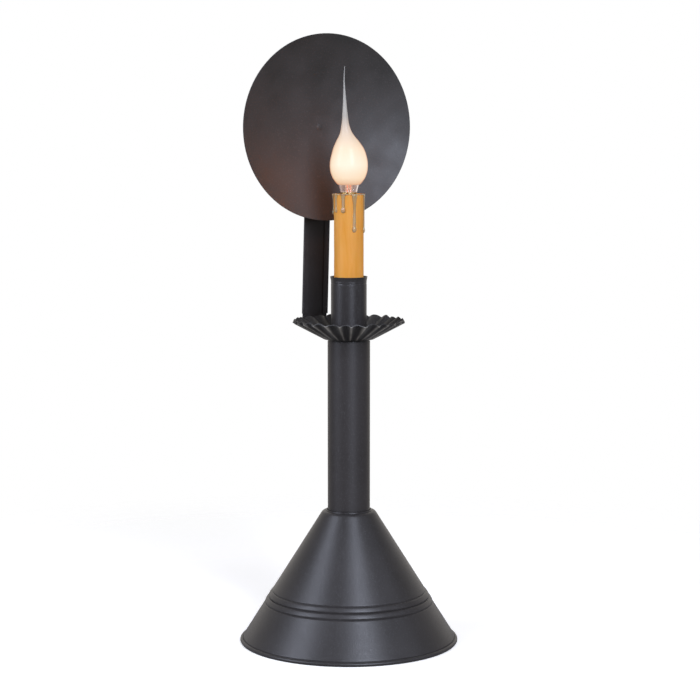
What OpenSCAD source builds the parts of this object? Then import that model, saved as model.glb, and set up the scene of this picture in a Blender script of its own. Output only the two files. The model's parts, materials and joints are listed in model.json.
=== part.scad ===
// Cone accent light: a spun cone foot, a tube column, a pleated drip pan with a candle cup,
// a wax sleeve over a small screw socket, a dipped flame bulb and a dished reflector
// carried on a hemmed strip. Millimetres, +Z up. The origin is on the floor on the lamp's
// axis, and the reflector stands on the +Y side.

/* [Base] */
// Diameter over the rolled rim
base_d = 164.5; // [150:0.5:180]
// Height of the cone's flat top
base_h = 100; // [85:1:120]
// Diameter where the slanted wall would meet the flat top
base_top_d = 39.2; // [38:0.2:46]
// Outside radius of the rounded shoulder
shoulder_r = 2.5; // [1.5:0.1:3.5]
// Thickness of the sheet metal
sheet_t = 0.7; // [0.5:0.05:0.9]
// Diameter of the rolled rim
rim_d = 3.4; // [2.8:0.1:4.4]
// Depth of the flat that the rim stands on
rim_flat = 0.15; // [0.1:0.05:0.25]
// How far the wall's foot lies outside the rolled rim's centre
wall_foot_out = 0.7; // [0.5:0.1:0.9]
// Height of the crease above the beads
bead_z = 38.7; // [30:0.1:60]
// Number of raised beads
bead_count = 2; // [1:1:3]
// Width of one bead along the slant
bead_w = 5.1; // [4:0.1:6]
// How far a bead stands proud of the wall
bead_rise = 1; // [0.6:0.1:1.4]
// Height of the cord hole at the back
cord_z = 16; // [13:0.5:20]
// Bore of the cord bushing
cord_bore_d = 5.8; // [4:0.1:6.5]
// Outside of the bushing's barrel
bushing_d = 8; // [7.6:0.1:9]
// Outside of the bushing's flange
bushing_flange_d = 12; // [11:0.5:14]
// Thickness of the bushing's flange
bushing_flange_t = 1.6; // [1:0.1:2.4]
// Length of the bushing's barrel inside the wall
bushing_tail = 4; // [3:0.5:6]
// How far the bushing's barb stands proud of its barrel
bushing_barb = 0.4; // [0.2:0.1:0.6]
// Length of the bushing's barb
bushing_barb_h = 1.2; // [0.8:0.1:1.6]

/* [Column] */
// Outside diameter of the column tube
column_d = 31.75; // [29:0.25:34]
// Wall of the column tube
column_wall = 0.9; // [0.7:0.05:1.2]
// Length of the column tube
column_h = 126; // [90:1:180]
// How far the ring at the column's foot stands out past the tube
foot_ring_lip = 0.7; // [0.4:0.05:1.2]
// Height of the ring that shows at the column's foot
foot_ring_t = 2; // [1:0.1:3]
// Thickness of the ring on the column's top
top_ring_t = 1; // [0.6:0.1:1.6]
// Length of the spigots that centre the tube
spigot_h = 6; // [4:0.5:10]
// Wall of the spigots
spigot_wall = 2; // [1.5:0.1:3]
// Outside diameter of the threaded stem pipe
pipe_d = 9.7; // [9:0.1:10.2]
// Bore of the stem pipe
pipe_bore_d = 6.6; // [5.5:0.1:7.2]
// Length of pipe below the base nut
pipe_tail = 4; // [2:0.5:8]
// Width across the flats of the nuts
nut_af = 14.3; // [13:0.1:16]
// Thickness of the nuts
nut_t = 3.2; // [2.4:0.1:4]
// Outside diameter of the base washer
base_washer_d = 25.4; // [20:0.2:28]
// Thickness of the base washer
base_washer_t = 1.6; // [1:0.1:2.4]

/* [Drip pan and cup] */
// Diameter of the pleated rim
pan_d = 84.2; // [70:0.2:92]
// Diameter of the pan's flat floor
pan_floor_d = 38; // [35:0.5:42]
// Rise from the floor to the rim
pan_rise = 12.3; // [9:0.1:18]
// Number of pleats round the rim
pleat_count = 28; // [20:1:36]
// Depth of a pleat at the rim
pleat_depth = 2; // [1:0.1:2.2]
// Bearing of one inner fold, from +X
pleat_turn = 8; // [0:0.5:12]
// How sharply the pleats are folded, up to 1
pleat_crisp = 0.96; // [0.8:0.01:0.98]
// Outside diameter of the candle cup
cup_d = 26.7; // [26:0.1:29]
// Height of the candle cup
cup_h = 45.9; // [35:0.5:60]
// How far the cup's lip flares past its side
lip_flare = 0.6; // [0.3:0.05:1]
// Height of the flared lip
lip_h = 3; // [2:0.2:5]
// Distance from the lip down to the rolled crease
crease_drop = 5; // [4:0.2:8]
// Depth of the rolled crease
crease_depth = 0.25; // [0.1:0.05:0.4]
// Outside diameter of the cup's lock washer
lock_washer_d = 17; // [15:0.5:18]
// Thickness of the cup's lock washer
lock_washer_t = 1.2; // [0.8:0.1:1.8]

/* [Candle sleeve] */
// Outside diameter of the sleeve
sleeve_d = 22.2; // [21.8:0.1:23]
// Wall of the sleeve
sleeve_wall = 0.8; // [0.6:0.05:1]
// Length of the sleeve
sleeve_h = 106.6; // [95:0.2:120]
// How far the drips stand proud of the sleeve, as part of their radius
drip_proud = 0.8; // [0.5:0.05:0.95]
// Size of a drip's end bead against its run
drip_bead = 1.35; // [1.1:0.05:1.5]

/* [Socket] */
// Depth of the socket's top below the sleeve's top
socket_inset = 1.2; // [0.6:0.1:2]
// Wall of the screw shell behind its thread
shell_wall = 0.6; // [0.4:0.05:0.8]
// Depth of the cavity that holds the screw shell
cavity_depth = 20.5; // [20:0.1:22]
// Thickness of the socket's floor
socket_floor_t = 8; // [7:0.1:10]
// Diameter of the socket's lower neck
socket_neck_d = 15; // [14:0.5:16]
// How far the socket's wide part reaches below its cavity
socket_step = 1; // [0.6:0.1:1.5]
// Diameter of the terminal screws' heads
terminal_head_d = 4.6; // [4:0.1:5]
// Thickness of the terminal screws' heads
terminal_head_t = 1.4; // [1:0.1:1.6]
// Diameter of the terminal screws' shanks
terminal_shank_d = 2.6; // [2:0.1:3]
// Length of the terminal screws' shanks
terminal_shank_h = 3.5; // [2.5:0.1:4.5]
// Diameter of the rivet that holds the socket on its leg
eyelet_d = 3; // [2.4:0.1:3.4]
// Diameter of that rivet's heads
eyelet_head_d = 4.8; // [4.4:0.1:5.6]
// Thickness of that rivet's heads
eyelet_head_t = 0.7; // [0.5:0.05:0.9]
// Width of the leg that carries the socket
leg_w = 9.5; // [8:0.5:10]
// Thickness of the leg
leg_t = 1; // [0.8:0.1:1.2]
// Outside diameter of the leg's threaded collar
collar_d = 13.5; // [13:0.1:14.5]
// Height of the leg's threaded collar
collar_h = 8; // [6:0.5:10]
// Thickness of the spring strip under the bulb
contact_t = 0.4; // [0.3:0.05:0.5]
// Width of the spring strip
contact_w = 4; // [3.6:0.2:5]
// Outside radius of the spring strip's bend
contact_bend_r = 1.3; // [1.2:0.05:1.6]
// Length of the spring strip from its bend to the lamp's axis
contact_run = 3; // [2.6:0.1:3.6]

/* [Bulb] */
// Screw thread's outside diameter
thread_d = 11.8; // [11.6:0.05:12]
// Screw thread's pitch
thread_pitch = 2.54; // [2.2:0.02:3]
// Screw thread's depth
thread_depth = 0.55; // [0.4:0.05:0.7]
// Number of thread turns on the bulb
thread_turns = 4.5; // [4:0.25:5]
// How far the plain collar above the thread stands past the thread
bulb_collar_step = 0.2; // [0:0.05:0.4]
// How far the collar stands above the sleeve's top
bulb_collar_rise = 1.3; // [1:0.1:4]
// Plain stretch at each end of the thread
thread_run_in = 0.8; // [0.6:0.1:1]
// How far the screw base draws in below its thread
screw_foot_taper = 0.3; // [0.2:0.05:0.4]
// Wall of the metal screw base
screw_wall = 0.5; // [0.45:0.05:0.6]
// Diameter of the contact under the bulb
foot_d = 5.2; // [4:0.1:6]
// Thickness of the contact under the bulb
foot_t = 0.6; // [0.4:0.05:0.8]
// Height of the insulator between the contact and the screw base
insulator_t = 3.2; // [2.8:0.1:3.6]
// Thickness of the insulator's lips
insulator_lip_t = 0.6; // [0.4:0.05:0.8]
// Widest diameter of the dipped coat
coat_d = 28.2; // [26:0.2:32]
// Height of the round part's foot above the screw base
coat_neck = 2.9; // [1:0.1:4]
// Height from the round part's foot to its widest place
coat_low = 17.4; // [15:0.1:22]
// Height from the widest place to where the round part runs out
coat_high = 29; // [22:0.1:34]
// Length of the thin tail above the round part
tail_h = 43.3; // [25:0.1:60]
// Radius at the root of the tail
tail_r = 3.1; // [2.5:0.1:4.5]
// How far the tail's tip stands off the bulb's axis
tail_lean = 2.6; // [0:0.1:5]
// Direction of that lean, from +X
tail_bearing = 153; // [0:1:359]
// Radius of the tail's tip
tail_tip_r = 0.35; // [0.25:0.05:0.6]
// Thickness of the coat on the glass
coat_t = 1.5; // [1:0.1:2]
// Thickness of the coat's lower edge
coat_edge_t = 0.9; // [0.5:0.1:1.2]
// Thickness of the bulb's glass
glass_t = 0.6; // [0.4:0.05:0.8]
// Diameter of the clear glass neck between the screw base and the coat
glass_waist_d = 12.6; // [12.2:0.1:13]
// Height of the glass's foot above the insulator
glass_foot_gap = 3; // [1:0.1:5]
// Diameter of the glass stem that carries the wires
stem_d = 4.8; // [4:0.1:5.4]
// How far the stem flares at its foot
stem_flare = 0.6; // [0.3:0.05:0.7]
// Depth of the stem's top below the bulb's widest place
stem_drop = 6; // [3:0.5:10]
// Diameter of the wires on the stem
lead_d = 0.6; // [0.4:0.05:0.8]
// Distance of each wire from the bulb's axis
lead_x = 1.4; // [1:0.1:1.7]
// Height of the filament's feet above the bulb's widest place
filament_rise = 6; // [3:0.5:9]
// Diameter of the coiled filament
filament_d = 1; // [0.7:0.05:1.2]

/* [Reflector] */
// Diameter of the reflector
reflector_d = 141.2; // [120:0.1:150]
// Depth of the dish
reflector_depth = 15; // [8:0.2:18]
// Height of the reflector's centre above the pan's underside
reflector_rise = 156.6; // [130:0.1:170]
// Distance from the lamp's axis to the strip's front face
strip_y = 57.9; // [50:0.1:64]
// Width of the hemmed strip
strip_w = 22; // [16:0.2:24]
// Width of the hems on the strip's edges
hem_w = 4.4; // [3:0.2:6]
// Height of the strip's lower bend above the pan's underside
strip_bend_rise = 6; // [4:0.5:9]
// How far the strip is bent sideways at its lower bend, to the right seen from the candle
strip_lean = 1.6; // [-3:0.1:3]
// Distance from the reflector's centre to the strip's top end
strip_top = 15; // [10:0.5:25]
// Inside radius of the strip's lower bend
strip_bend_r = 3; // [2:0.1:4]
// How far the strip's round foot stands out past its edges
strip_foot_lip = 2.5; // [1.5:0.1:3.5]
// How far past the pan's floor the strip starts to rise
strip_flat_past = 3; // [2:0.5:5]
// Diameter of the rivet's shank
rivet_d = 3.2; // [2.4:0.1:4]
// How far the rivet's heads stand out past its shank
rivet_lip = 0.8; // [0.5:0.1:1.2]
// Thickness of the rivet's heads
rivet_head_t = 0.9; // [0.6:0.1:1.2]

/* [Hidden] */
$fn = 64;

// Paint and bare finishes
black_paint = [0.05, 0.05, 0.052];
zinc = [0.62, 0.63, 0.64];
brass = [0.72, 0.55, 0.24];
wax_tan = [0.76, 0.42, 0.14];
wax_cream = [0.8, 0.72, 0.55];
warm_white = [1, 0.86, 0.66];

// Clearances
seat_gap = 0.05; // pieces that seat in each other
hole_gap = 0.25; // sheet holes round the pipe
run_gap = 0.3; // pieces that turn past each other
thread_gap = 0.25; // between the bulb's thread and the socket's
eps = 0.01; // overlap that joins touching solids of one piece
cut = 1; // how far a cut runs past the faces it opens

// Rolled rim and slanted wall
rim_r = rim_d / 2;
rim_c = [base_d / 2 - rim_r, rim_r - rim_flat];
wire_r = rim_r - sheet_t - seat_gap;
wall_foot_r = rim_c.x + wall_foot_out;
wall_slope = (wall_foot_r - base_top_d / 2) / (base_h - rim_c.y);
wall_angle = atan(wall_slope);
wall_normal = [cos(wall_angle), sin(wall_angle)];
wall_down = [sin(wall_angle), -cos(wall_angle)];
shoulder_z = base_h - shoulder_r;
shoulder_c = [wall_r(shoulder_z) - shoulder_r / cos(wall_angle), shoulder_z];
bead_r = (bead_w * bead_w / 4 + bead_rise * bead_rise) / (2 * bead_rise);
cord_hole_r = bushing_d / 2 + seat_gap;

// Heights up the stem
pipe_r = pipe_d / 2;
pipe_hole_r = pipe_r + hole_gap;
nut_bore_r = pipe_r + seat_gap;
column_z = base_h + foot_ring_t;
column_top = column_z + column_h;
column_bore_r = column_d / 2 - column_wall;
top_ring_r = (column_d / 2 + column_bore_r) / 2;
strip_z = column_top + top_ring_t;
pan_z = strip_z + sheet_t;
cup_z = pan_z + sheet_t;
cup_floor = cup_z + sheet_t;
cup_nut_z = cup_floor + lock_washer_t;
leg_z = cup_nut_z + nut_t + leg_t;
pipe_top = leg_z + collar_h;
base_nut_z = base_h - sheet_t - base_washer_t - nut_t;
pipe_bottom = base_nut_z - pipe_tail;

// Pleated skirt, rooted inside the pan's floor
pleat_sides = 8; // facets of one pleat
skirt_root = 0.1; // the skirt's foot lies this far inside the floor's faces
skirt_overlap = 0.5; // and reaches this far in from the floor's edge
skirt_r = pan_floor_d / 2 - skirt_overlap;
skirt_z = pan_z + skirt_root;
skirt_t = sheet_t - 2 * skirt_root;
skirt_slope = atan2(pan_rise, pan_d / 2 - pan_floor_d / 2);

// Sleeve and socket
sleeve_r = sleeve_d / 2;
sleeve_bore_r = sleeve_r - sleeve_wall;
sleeve_top = cup_floor + sleeve_h;
socket_top = sleeve_top - socket_inset;
socket_h = cavity_depth + socket_floor_t;
socket_z = socket_top - socket_h;
socket_floor = socket_top - cavity_depth;
socket_neck_h = socket_floor_t - socket_step;
socket_r = sleeve_bore_r - run_gap;
socket_neck_r = socket_neck_d / 2;
terminal_z = socket_z + socket_neck_h / 2;
terminal_hole_r = terminal_shank_d / 2 + seat_gap;
eyelet_r = eyelet_d / 2;
eyelet_hole_r = eyelet_r + seat_gap;
contact_top = socket_floor + 2 * contact_bend_r;

// Screw base of the bulb, from its foot upward
foot_r = foot_d / 2;
screw_z = contact_top + foot_t + insulator_t;
thread_z = screw_z + thread_run_in;
thread_major = thread_d / 2;
thread_minor = thread_major - thread_depth;
thread_len = thread_turns * thread_pitch;
thread_top = thread_z + thread_len;
bulb_collar_r = thread_major + bulb_collar_step;
bulb_collar_z = thread_top + thread_run_in;
bulb_collar_top = sleeve_top + bulb_collar_rise;
screw_bore_r = thread_minor - screw_wall;
screw_foot_r = thread_minor - screw_foot_taper;
shell_major = thread_major + thread_gap;
shell_r = shell_major + shell_wall;
cavity_r = shell_r + seat_gap;
shell_z = thread_z - thread_pitch / 2;
shell_top = thread_top;
thread_sides = 24; // facets round the thread
turn_rows = 8; // rings in one turn
thread_rows = round(thread_turns * turn_rows);
thread_heights = [for (i = [0:thread_rows]) thread_z + thread_len * i / thread_rows];

// Dipped coat and the glass in it
coat_r = coat_d / 2;
coat_mid = bulb_collar_top + coat_neck + coat_low;
coat_ball_top = coat_mid + coat_high;
coat_tip = coat_ball_top + tail_h;
tail_taper = 1.44; // how fast the tail thins out
shoulder_taper = 1.2; // how fast the round part draws in above
tail_blend = 4; // how closely the coat follows the wider of its round part and its tail
coat_sides = 28; // facets round the coat
skin_gap = 0.2; // faceted inside of the coat round the true round of the glass
glass_r = coat_r - coat_t;
glass_neck_r = screw_bore_r - run_gap;
glass_waist_r = glass_waist_d / 2;
coat_edge_r = glass_waist_r + skin_gap + coat_edge_t;
coat_foot = acos(coat_edge_r / coat_r); // angle below the widest place where the coat ends
coat_edge_z = coat_mid - coat_low * sin(coat_foot);
glass_z = screw_z + insulator_lip_t + glass_foot_gap;
glass_crown = 0.76; // the glass ends lower than the round of the coat
glass_low = coat_low - coat_t;
glass_high = glass_crown * coat_high - coat_t;
stem_z = glass_z + glass_t;
stem_top = coat_mid - stem_drop;
filament_z = coat_mid + filament_rise;

// Reflector and the strip that carries it
reflector_rim_r = reflector_d / 2;
dish_r = (reflector_rim_r * reflector_rim_r + reflector_depth * reflector_depth) / (2 * reflector_depth);
strip_bend_z = pan_z + strip_bend_rise;
upright_z = strip_bend_z + strip_bend_r + sheet_t;
reflector_z = pan_z + reflector_rise;
reflector_c = [(reflector_z - upright_z) * tan(strip_lean), strip_y, reflector_z];
upright_h = reflector_z + strip_top - upright_z;
strip_flat_y = pan_floor_d / 2 + strip_flat_past;
strip_foot_r = strip_w / 2 + strip_foot_lip;
hem_gap = 0.2; // left open inside the fold
hem_r = sheet_t + hem_gap / 2;
hem_x = strip_w / 2 - hem_r;
strip_half = hem_x / cos(strip_lean); // half of the strip's width below its upright
hem_relief = 5; // hems stop short of the bend and of the dish's back
hem_low = hem_relief - sheet_t;
hem_high = reflector_z - upright_z - sqrt(2 * dish_r * (hem_gap + sheet_t)) - hem_relief;
rivet_r = rivet_d / 2;
rivet_hole_r = rivet_r + seat_gap;
rivet_lift = 0.02; // clears the dish's hollow under the rivet's flat head

// Wax runs: bearing from +X, length down from the sleeve's top, radius
drips = [
    [153, 15.6, 1.1], [190, 13.4, 1], [225, 13.4, 1.2], [265, 27.6, 1.1], [323, 28.8, 1.2],
    [8, 19, 1], [44, 33, 1.2], [80, 12, 1.1], [117, 24, 1]
];

// Outside radius of the cone's wall at a height
function wall_r(z) = base_top_d / 2 + wall_slope * (base_h - z);

// Point on the wall's outside, a distance down the slant from the upper crease
function on_wall(s) = [wall_r(bead_z), bead_z] + s * wall_down;

// Points of one round ring
function ring(r, z, sides, c = [0, 0]) =
    [for (i = [0:sides - 1]) [c.x + r * cos(360 * i / sides), c.y + r * sin(360 * i / sides), z]];

// Faces between rings that follow each other, the last back to the first if looped
function ring_faces(rings, sides, looped) =
    [for (j = [0:rings - (looped ? 1 : 2)], i = [0:sides - 1])
        let (
            a = j * sides + i,
            b = j * sides + (i + 1) % sides,
            d = ((j + 1) % rings) * sides + i,
            c = ((j + 1) % rings) * sides + (i + 1) % sides
        )
        each [[a, c, b], [a, d, c]]];

// Skin through rings that loop back on themselves, as a tube's inside and outside do
module looped_skin(rings) {
    sides = len(rings[0]);
    polyhedron([for (r = rings) each r], ring_faces(len(rings), sides, true));
}

// Skin through rings that is closed by a flat at each end
module capped_skin(rings) {
    sides = len(rings[0]);
    count = len(rings);
    polyhedron(
        [for (r = rings) each r],
        concat(
            ring_faces(count, sides, false),
            [[for (i = [0:sides - 1]) i], [for (i = [sides - 1:-1:0]) (count - 1) * sides + i]]
        )
    );
}

// Ring between two radii, standing on a height
module washer(r, bore_r, t, z) {
    translate([0, 0, z])
        difference() {
            cylinder(r = r, h = t);
            translate([0, 0, -cut])
                cylinder(r = bore_r, h = t + 2 * cut);
        }
}

module hex_nut(z) {
    translate([0, 0, z])
        difference() {
            intersection() {
                cylinder(r = nut_af / 2 / cos(30), h = nut_t, $fn = 6);
                cylinder(r1 = nut_af / 2 + nut_t, r2 = nut_af / 2, h = nut_t);
            }
            translate([0, 0, -cut])
                cylinder(r = nut_bore_r, h = nut_t + 2 * cut);
        }
}

// Seating ring: a flange and a spigot that enters the column tube
module seating_ring(flange_r, flange_z, flange_t, spigot_z) {
    spigot_r = column_bore_r - seat_gap;
    washer(flange_r, pipe_hole_r, flange_t, flange_z);
    washer(spigot_r, spigot_r - spigot_wall, spigot_h + eps, spigot_z);
}

// Half section of the cone, drawn in by the sheet's thickness for its inside
module cone_section(inset, foot_z) {
    tangent = shoulder_c + (shoulder_r - inset) * wall_normal;
    polygon([
        [0, foot_z],
        [wall_r(foot_z) - inset / cos(wall_angle), foot_z],
        tangent,
        shoulder_c,
        [shoulder_c.x, base_h - inset],
        [0, base_h - inset]
    ]);
    translate(shoulder_c)
        circle(r = shoulder_r - inset);
    for (i = [0:bead_count - 1])
        translate(on_wall((i + 0.5) * bead_w) - (bead_r - bead_rise) * wall_normal)
            circle(r = bead_r - inset);
}

// Places a shape on the back of the cone, with its +Z out along the wall's normal
module at_cord_hole() {
    translate([0, wall_r(cord_z), cord_z])
        rotate([wall_angle - 90, 0, 0])
            children();
}

module base_cone() {
    color(black_paint)
        difference() {
            rotate_extrude()
                difference() {
                    union() {
                        difference() {
                            cone_section(0, rim_c.y);
                            cone_section(sheet_t, rim_c.y - cut);
                        }
                        translate(rim_c)
                            circle(r = rim_r);
                    }
                    translate(rim_c)
                        circle(r = rim_r - sheet_t);
                    translate([0, -rim_d])
                        square([base_d, rim_d]);
                }
            translate([0, 0, base_h - sheet_t - cut])
                cylinder(r = pipe_hole_r, h = sheet_t + 2 * cut);
            at_cord_hole()
                cylinder(r = cord_hole_r, h = 2 * (sheet_t + cut), center = true);
        }
}

module rim_wire() {
    color(zinc)
        rotate_extrude()
            translate(rim_c)
                circle(r = wire_r);
}

module cord_bushing() {
    barrel_r = bushing_d / 2;
    barrel_h = sheet_t + bushing_tail;
    barb_z = -2 * sheet_t - bushing_barb_h;
    color([0.04, 0.04, 0.04])
        at_cord_hole()
            difference() {
                union() {
                    cylinder(d = bushing_flange_d, h = bushing_flange_t);
                    translate([0, 0, -barrel_h])
                        cylinder(r = barrel_r, h = barrel_h + eps);
                    translate([0, 0, barb_z])
                        cylinder(r1 = barrel_r, r2 = barrel_r + bushing_barb, h = bushing_barb_h);
                }
                translate([0, 0, -barrel_h - cut])
                    cylinder(d = cord_bore_d, h = barrel_h + bushing_flange_t + 2 * cut);
            }
}

module base_washer() {
    color(zinc)
        washer(base_washer_d / 2, pipe_hole_r, base_washer_t, base_h - sheet_t - base_washer_t);
}

module base_locknut() {
    color(zinc)
        hex_nut(base_nut_z);
}

module foot_ring() {
    color(black_paint)
        seating_ring(column_d / 2 + foot_ring_lip, base_h, foot_ring_t, column_z - eps);
}

module column_tube() {
    color(black_paint)
        washer(column_d / 2, column_bore_r, column_h, column_z);
}

module top_ring() {
    color(black_paint)
        seating_ring(top_ring_r, column_top, top_ring_t, column_top - spigot_h);
}

module stem_pipe() {
    color(zinc)
        washer(pipe_r, pipe_bore_d / 2, pipe_top - pipe_bottom, pipe_bottom);
}

// Side view of the strip's lower end: flat foot, sloping run under the pan, bend
module strip_side() {
    bend_y = strip_y - strip_bend_r;
    outer_r = strip_bend_r + sheet_t;
    polygon([
        [0, strip_z],
        [strip_flat_y, strip_z],
        [bend_y + eps, strip_bend_z],
        [bend_y + eps, strip_bend_z + sheet_t],
        [strip_flat_y, strip_z + sheet_t],
        [0, strip_z + sheet_t]
    ]);
    intersection() {
        translate([bend_y, upright_z])
            difference() {
                circle(r = outer_r);
                circle(r = strip_bend_r);
            }
        translate([bend_y, strip_bend_z])
            square(outer_r);
    }
}

// Front view of the upright, from the bend's top end
module upright_face() {
    lean_x = upright_h * tan(strip_lean);
    polygon([
        [-strip_half, -eps],
        [strip_half, -eps],
        [strip_half, 0],
        [strip_half + lean_x, upright_h],
        [lean_x - strip_half, upright_h],
        [-strip_half, 0]
    ]);
}

// Plan of one hem: the sheet folded over on the strip's front
module hem_plan() {
    fold_y = strip_y - hem_gap / 2;
    intersection() {
        translate([hem_x, fold_y])
            difference() {
                circle(r = hem_r);
                circle(r = hem_gap / 2);
            }
        translate([hem_x - eps, fold_y - hem_r])
            square([hem_r + eps, 2 * hem_r]);
    }
    translate([strip_w / 2 - hem_w, fold_y - hem_r])
        square([hem_w - hem_r + eps, sheet_t]);
}

module reflector_strip() {
    color(black_paint)
        difference() {
            union() {
                rotate([90, 0, 90])
                    translate([0, 0, -strip_half])
                        linear_extrude(2 * strip_half)
                            strip_side();
                translate([0, 0, strip_z])
                    cylinder(r = strip_foot_r, h = sheet_t);
                translate([0, strip_y + sheet_t, upright_z])
                    rotate([90, 0, 0])
                        linear_extrude(sheet_t)
                            upright_face();
                translate([0, 0, upright_z])
                    rotate([0, strip_lean, 0])
                        for (side = [0, 1])
                            mirror([side, 0, 0])
                                translate([0, 0, hem_low])
                                    linear_extrude(hem_high - hem_low)
                                        hem_plan();
            }
            translate([0, 0, strip_z - cut])
                cylinder(r = pipe_hole_r, h = sheet_t + 2 * cut);
            translate(reflector_c)
                rotate([90, 0, 0])
                    cylinder(r = rivet_hole_r, h = 2 * (sheet_t + cut), center = true);
        }
}

// Places a shape at the dish's vertex, with its +Z towards the candle
module at_vertex() {
    translate(reflector_c)
        rotate([90, 0, 0])
            children();
}

module reflector_dish() {
    color(black_paint)
        at_vertex()
            difference() {
                rotate_extrude($fn = 180)
                    intersection() {
                        translate([0, dish_r])
                            difference() {
                                circle(r = dish_r);
                                circle(r = dish_r - sheet_t);
                            }
                        square([reflector_rim_r, reflector_depth + sheet_t]);
                    }
                translate([0, 0, -cut])
                    cylinder(r = rivet_hole_r, h = sheet_t + 2 * cut);
            }
}

module reflector_rivet() {
    grip = 2 * sheet_t + rivet_lift;
    head_r = rivet_r + rivet_lip;
    color(black_paint)
        at_vertex() {
            translate([0, 0, -sheet_t - eps])
                cylinder(r = rivet_r, h = grip + 2 * eps);
            translate([0, 0, sheet_t + rivet_lift])
                cylinder(r1 = head_r, r2 = rivet_r, h = rivet_head_t);
            translate([0, 0, -sheet_t - rivet_head_t])
                cylinder(r1 = rivet_r, r2 = head_r, h = rivet_head_t);
        }
}

// One ring of the pan's pleated skirt: share 0 at the floor, 1 at the rim, lifted off the cone
function skirt_ring(share, lift) =
    let (sides = pleat_count * pleat_sides)
    [for (i = [0:sides - 1])
        let (
            a = pleat_turn + 360 * i / sides,
            wave = 0.5 + asin(pleat_crisp * cos(360 * i / pleat_sides)) / (2 * asin(pleat_crisp)),
            out = lift + share * pleat_depth * wave,
            r = skirt_r + share * (pan_d / 2 - skirt_r) - out * sin(skirt_slope),
            z = skirt_z + share * (pan_z + pan_rise - skirt_z) + out * cos(skirt_slope)
        )
        [r * cos(a), r * sin(a), z]];

module drip_pan() {
    color(black_paint) {
        washer(pan_floor_d / 2, pipe_hole_r, sheet_t, pan_z);
        looped_skin([
            skirt_ring(0, 0), skirt_ring(0.5, 0), skirt_ring(1, 0),
            skirt_ring(1, skirt_t), skirt_ring(0.5, skirt_t), skirt_ring(0, skirt_t)
        ]);
    }
}

module candle_cup() {
    r = cup_d / 2;
    lip_r = r + lip_flare;
    top = cup_z + cup_h;
    crease_z = top - crease_drop;
    crease_half = 2 * crease_depth;
    side = [
        [r, cup_z],
        [r, crease_z - crease_half],
        [r - crease_depth, crease_z],
        [r, crease_z + crease_half],
        [r, top - lip_h],
        [lip_r, top]
    ];
    inside = [for (i = [len(side) - 1:-1:1]) side[i] - [sheet_t, 0]];
    floor_points = [[r - sheet_t, cup_floor], [pipe_hole_r, cup_floor], [pipe_hole_r, cup_z]];
    color(black_paint)
        rotate_extrude()
            polygon(concat(side, inside, floor_points));
}

module cup_lock_washer() {
    color(zinc)
        washer(lock_washer_d / 2, pipe_hole_r, lock_washer_t, cup_floor);
}

module cup_nut() {
    color(zinc)
        hex_nut(cup_nut_z);
}

// Leg: a threaded collar on the pipe, an upright strap and a tab under the socket
module socket_leg() {
    strap_y = collar_d / 2 - leg_t;
    color(zinc)
        difference() {
            union() {
                translate([0, 0, leg_z])
                    cylinder(r = collar_d / 2, h = collar_h);
                translate([-leg_w / 2, strap_y, leg_z])
                    cube([leg_w, leg_t, socket_z - leg_z]);
                translate([-leg_w / 2, -leg_w / 2, socket_z - leg_t])
                    cube([leg_w, leg_w / 2 + strap_y + eps, leg_t]);
            }
            translate([0, 0, leg_z - cut])
                cylinder(r = nut_bore_r, h = collar_h + 2 * cut);
            translate([0, 0, socket_z - leg_t - cut])
                cylinder(r = eyelet_hole_r, h = leg_t + 2 * cut);
        }
}

// Places a shape at each terminal screw, with its +Z outward from the socket's neck
module at_terminals() {
    for (a = [0, 180])
        rotate([0, 0, a])
            translate([socket_neck_r, 0, terminal_z])
                rotate([0, 90, 0])
                    children();
}

module socket_body() {
    color([0.06, 0.05, 0.045])
        difference() {
            union() {
                translate([0, 0, socket_z + socket_neck_h])
                    cylinder(r = socket_r, h = socket_h - socket_neck_h);
                translate([0, 0, socket_z])
                    cylinder(r = socket_neck_r, h = socket_neck_h + eps);
            }
            translate([0, 0, socket_floor])
                cylinder(r = cavity_r, h = cavity_depth + cut);
            translate([0, 0, socket_z - cut])
                cylinder(r = eyelet_hole_r, h = socket_floor_t + 2 * cut);
            at_terminals()
                translate([0, 0, -terminal_shank_h])
                    cylinder(r = terminal_hole_r, h = terminal_shank_h + cut);
        }
}

// How much of the thread's depth stands at a height, fading out over half a turn at each end
function thread_share(z, low, high) =
    max(0, min(1, (z - low) * 2 / thread_pitch, (high - z) * 2 / thread_pitch));

// One ring of a right-hand thread between its root and its crest
function thread_ring(root, crest, z, share) =
    [for (i = [0:thread_sides - 1])
        let (
            a = 360 * i / thread_sides,
            wave = 0.5 + cos(360 * (z - thread_z) / thread_pitch - a) / 2,
            r = root + (crest - root) * share * wave
        )
        [r * cos(a), r * sin(a), z]];

module socket_screw_shell() {
    crest = shell_major - thread_depth;
    color(brass)
        looped_skin(concat(
            [ring(shell_r, shell_z, thread_sides), ring(shell_r, shell_top, thread_sides)],
            [for (i = [thread_rows:-1:0]) thread_ring(crest, shell_major, thread_heights[i], 1)],
            [ring(shell_major, shell_z, thread_sides)]
        ));
}

// Folded spring strip: a tab on the socket's floor, a bend and the tongue that meets the bulb
module socket_contact() {
    mid_z = socket_floor + contact_bend_r;
    color(brass)
        difference() {
            rotate([90, 0, 0])
                translate([0, 0, -contact_w / 2])
                    linear_extrude(contact_w) {
                        intersection() {
                            translate([-contact_run, mid_z])
                                difference() {
                                    circle(r = contact_bend_r);
                                    circle(r = contact_bend_r - contact_t);
                                }
                            translate([-contact_run - contact_bend_r, socket_floor])
                                square([contact_bend_r + eps, 2 * contact_bend_r]);
                        }
                        for (z = [socket_floor, contact_top - contact_t])
                            translate([-contact_run, z])
                                square([2 * contact_run, contact_t]);
                    }
            translate([0, 0, socket_floor - cut])
                cylinder(r = eyelet_hole_r, h = contact_t + cut + eps);
        }
}

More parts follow.
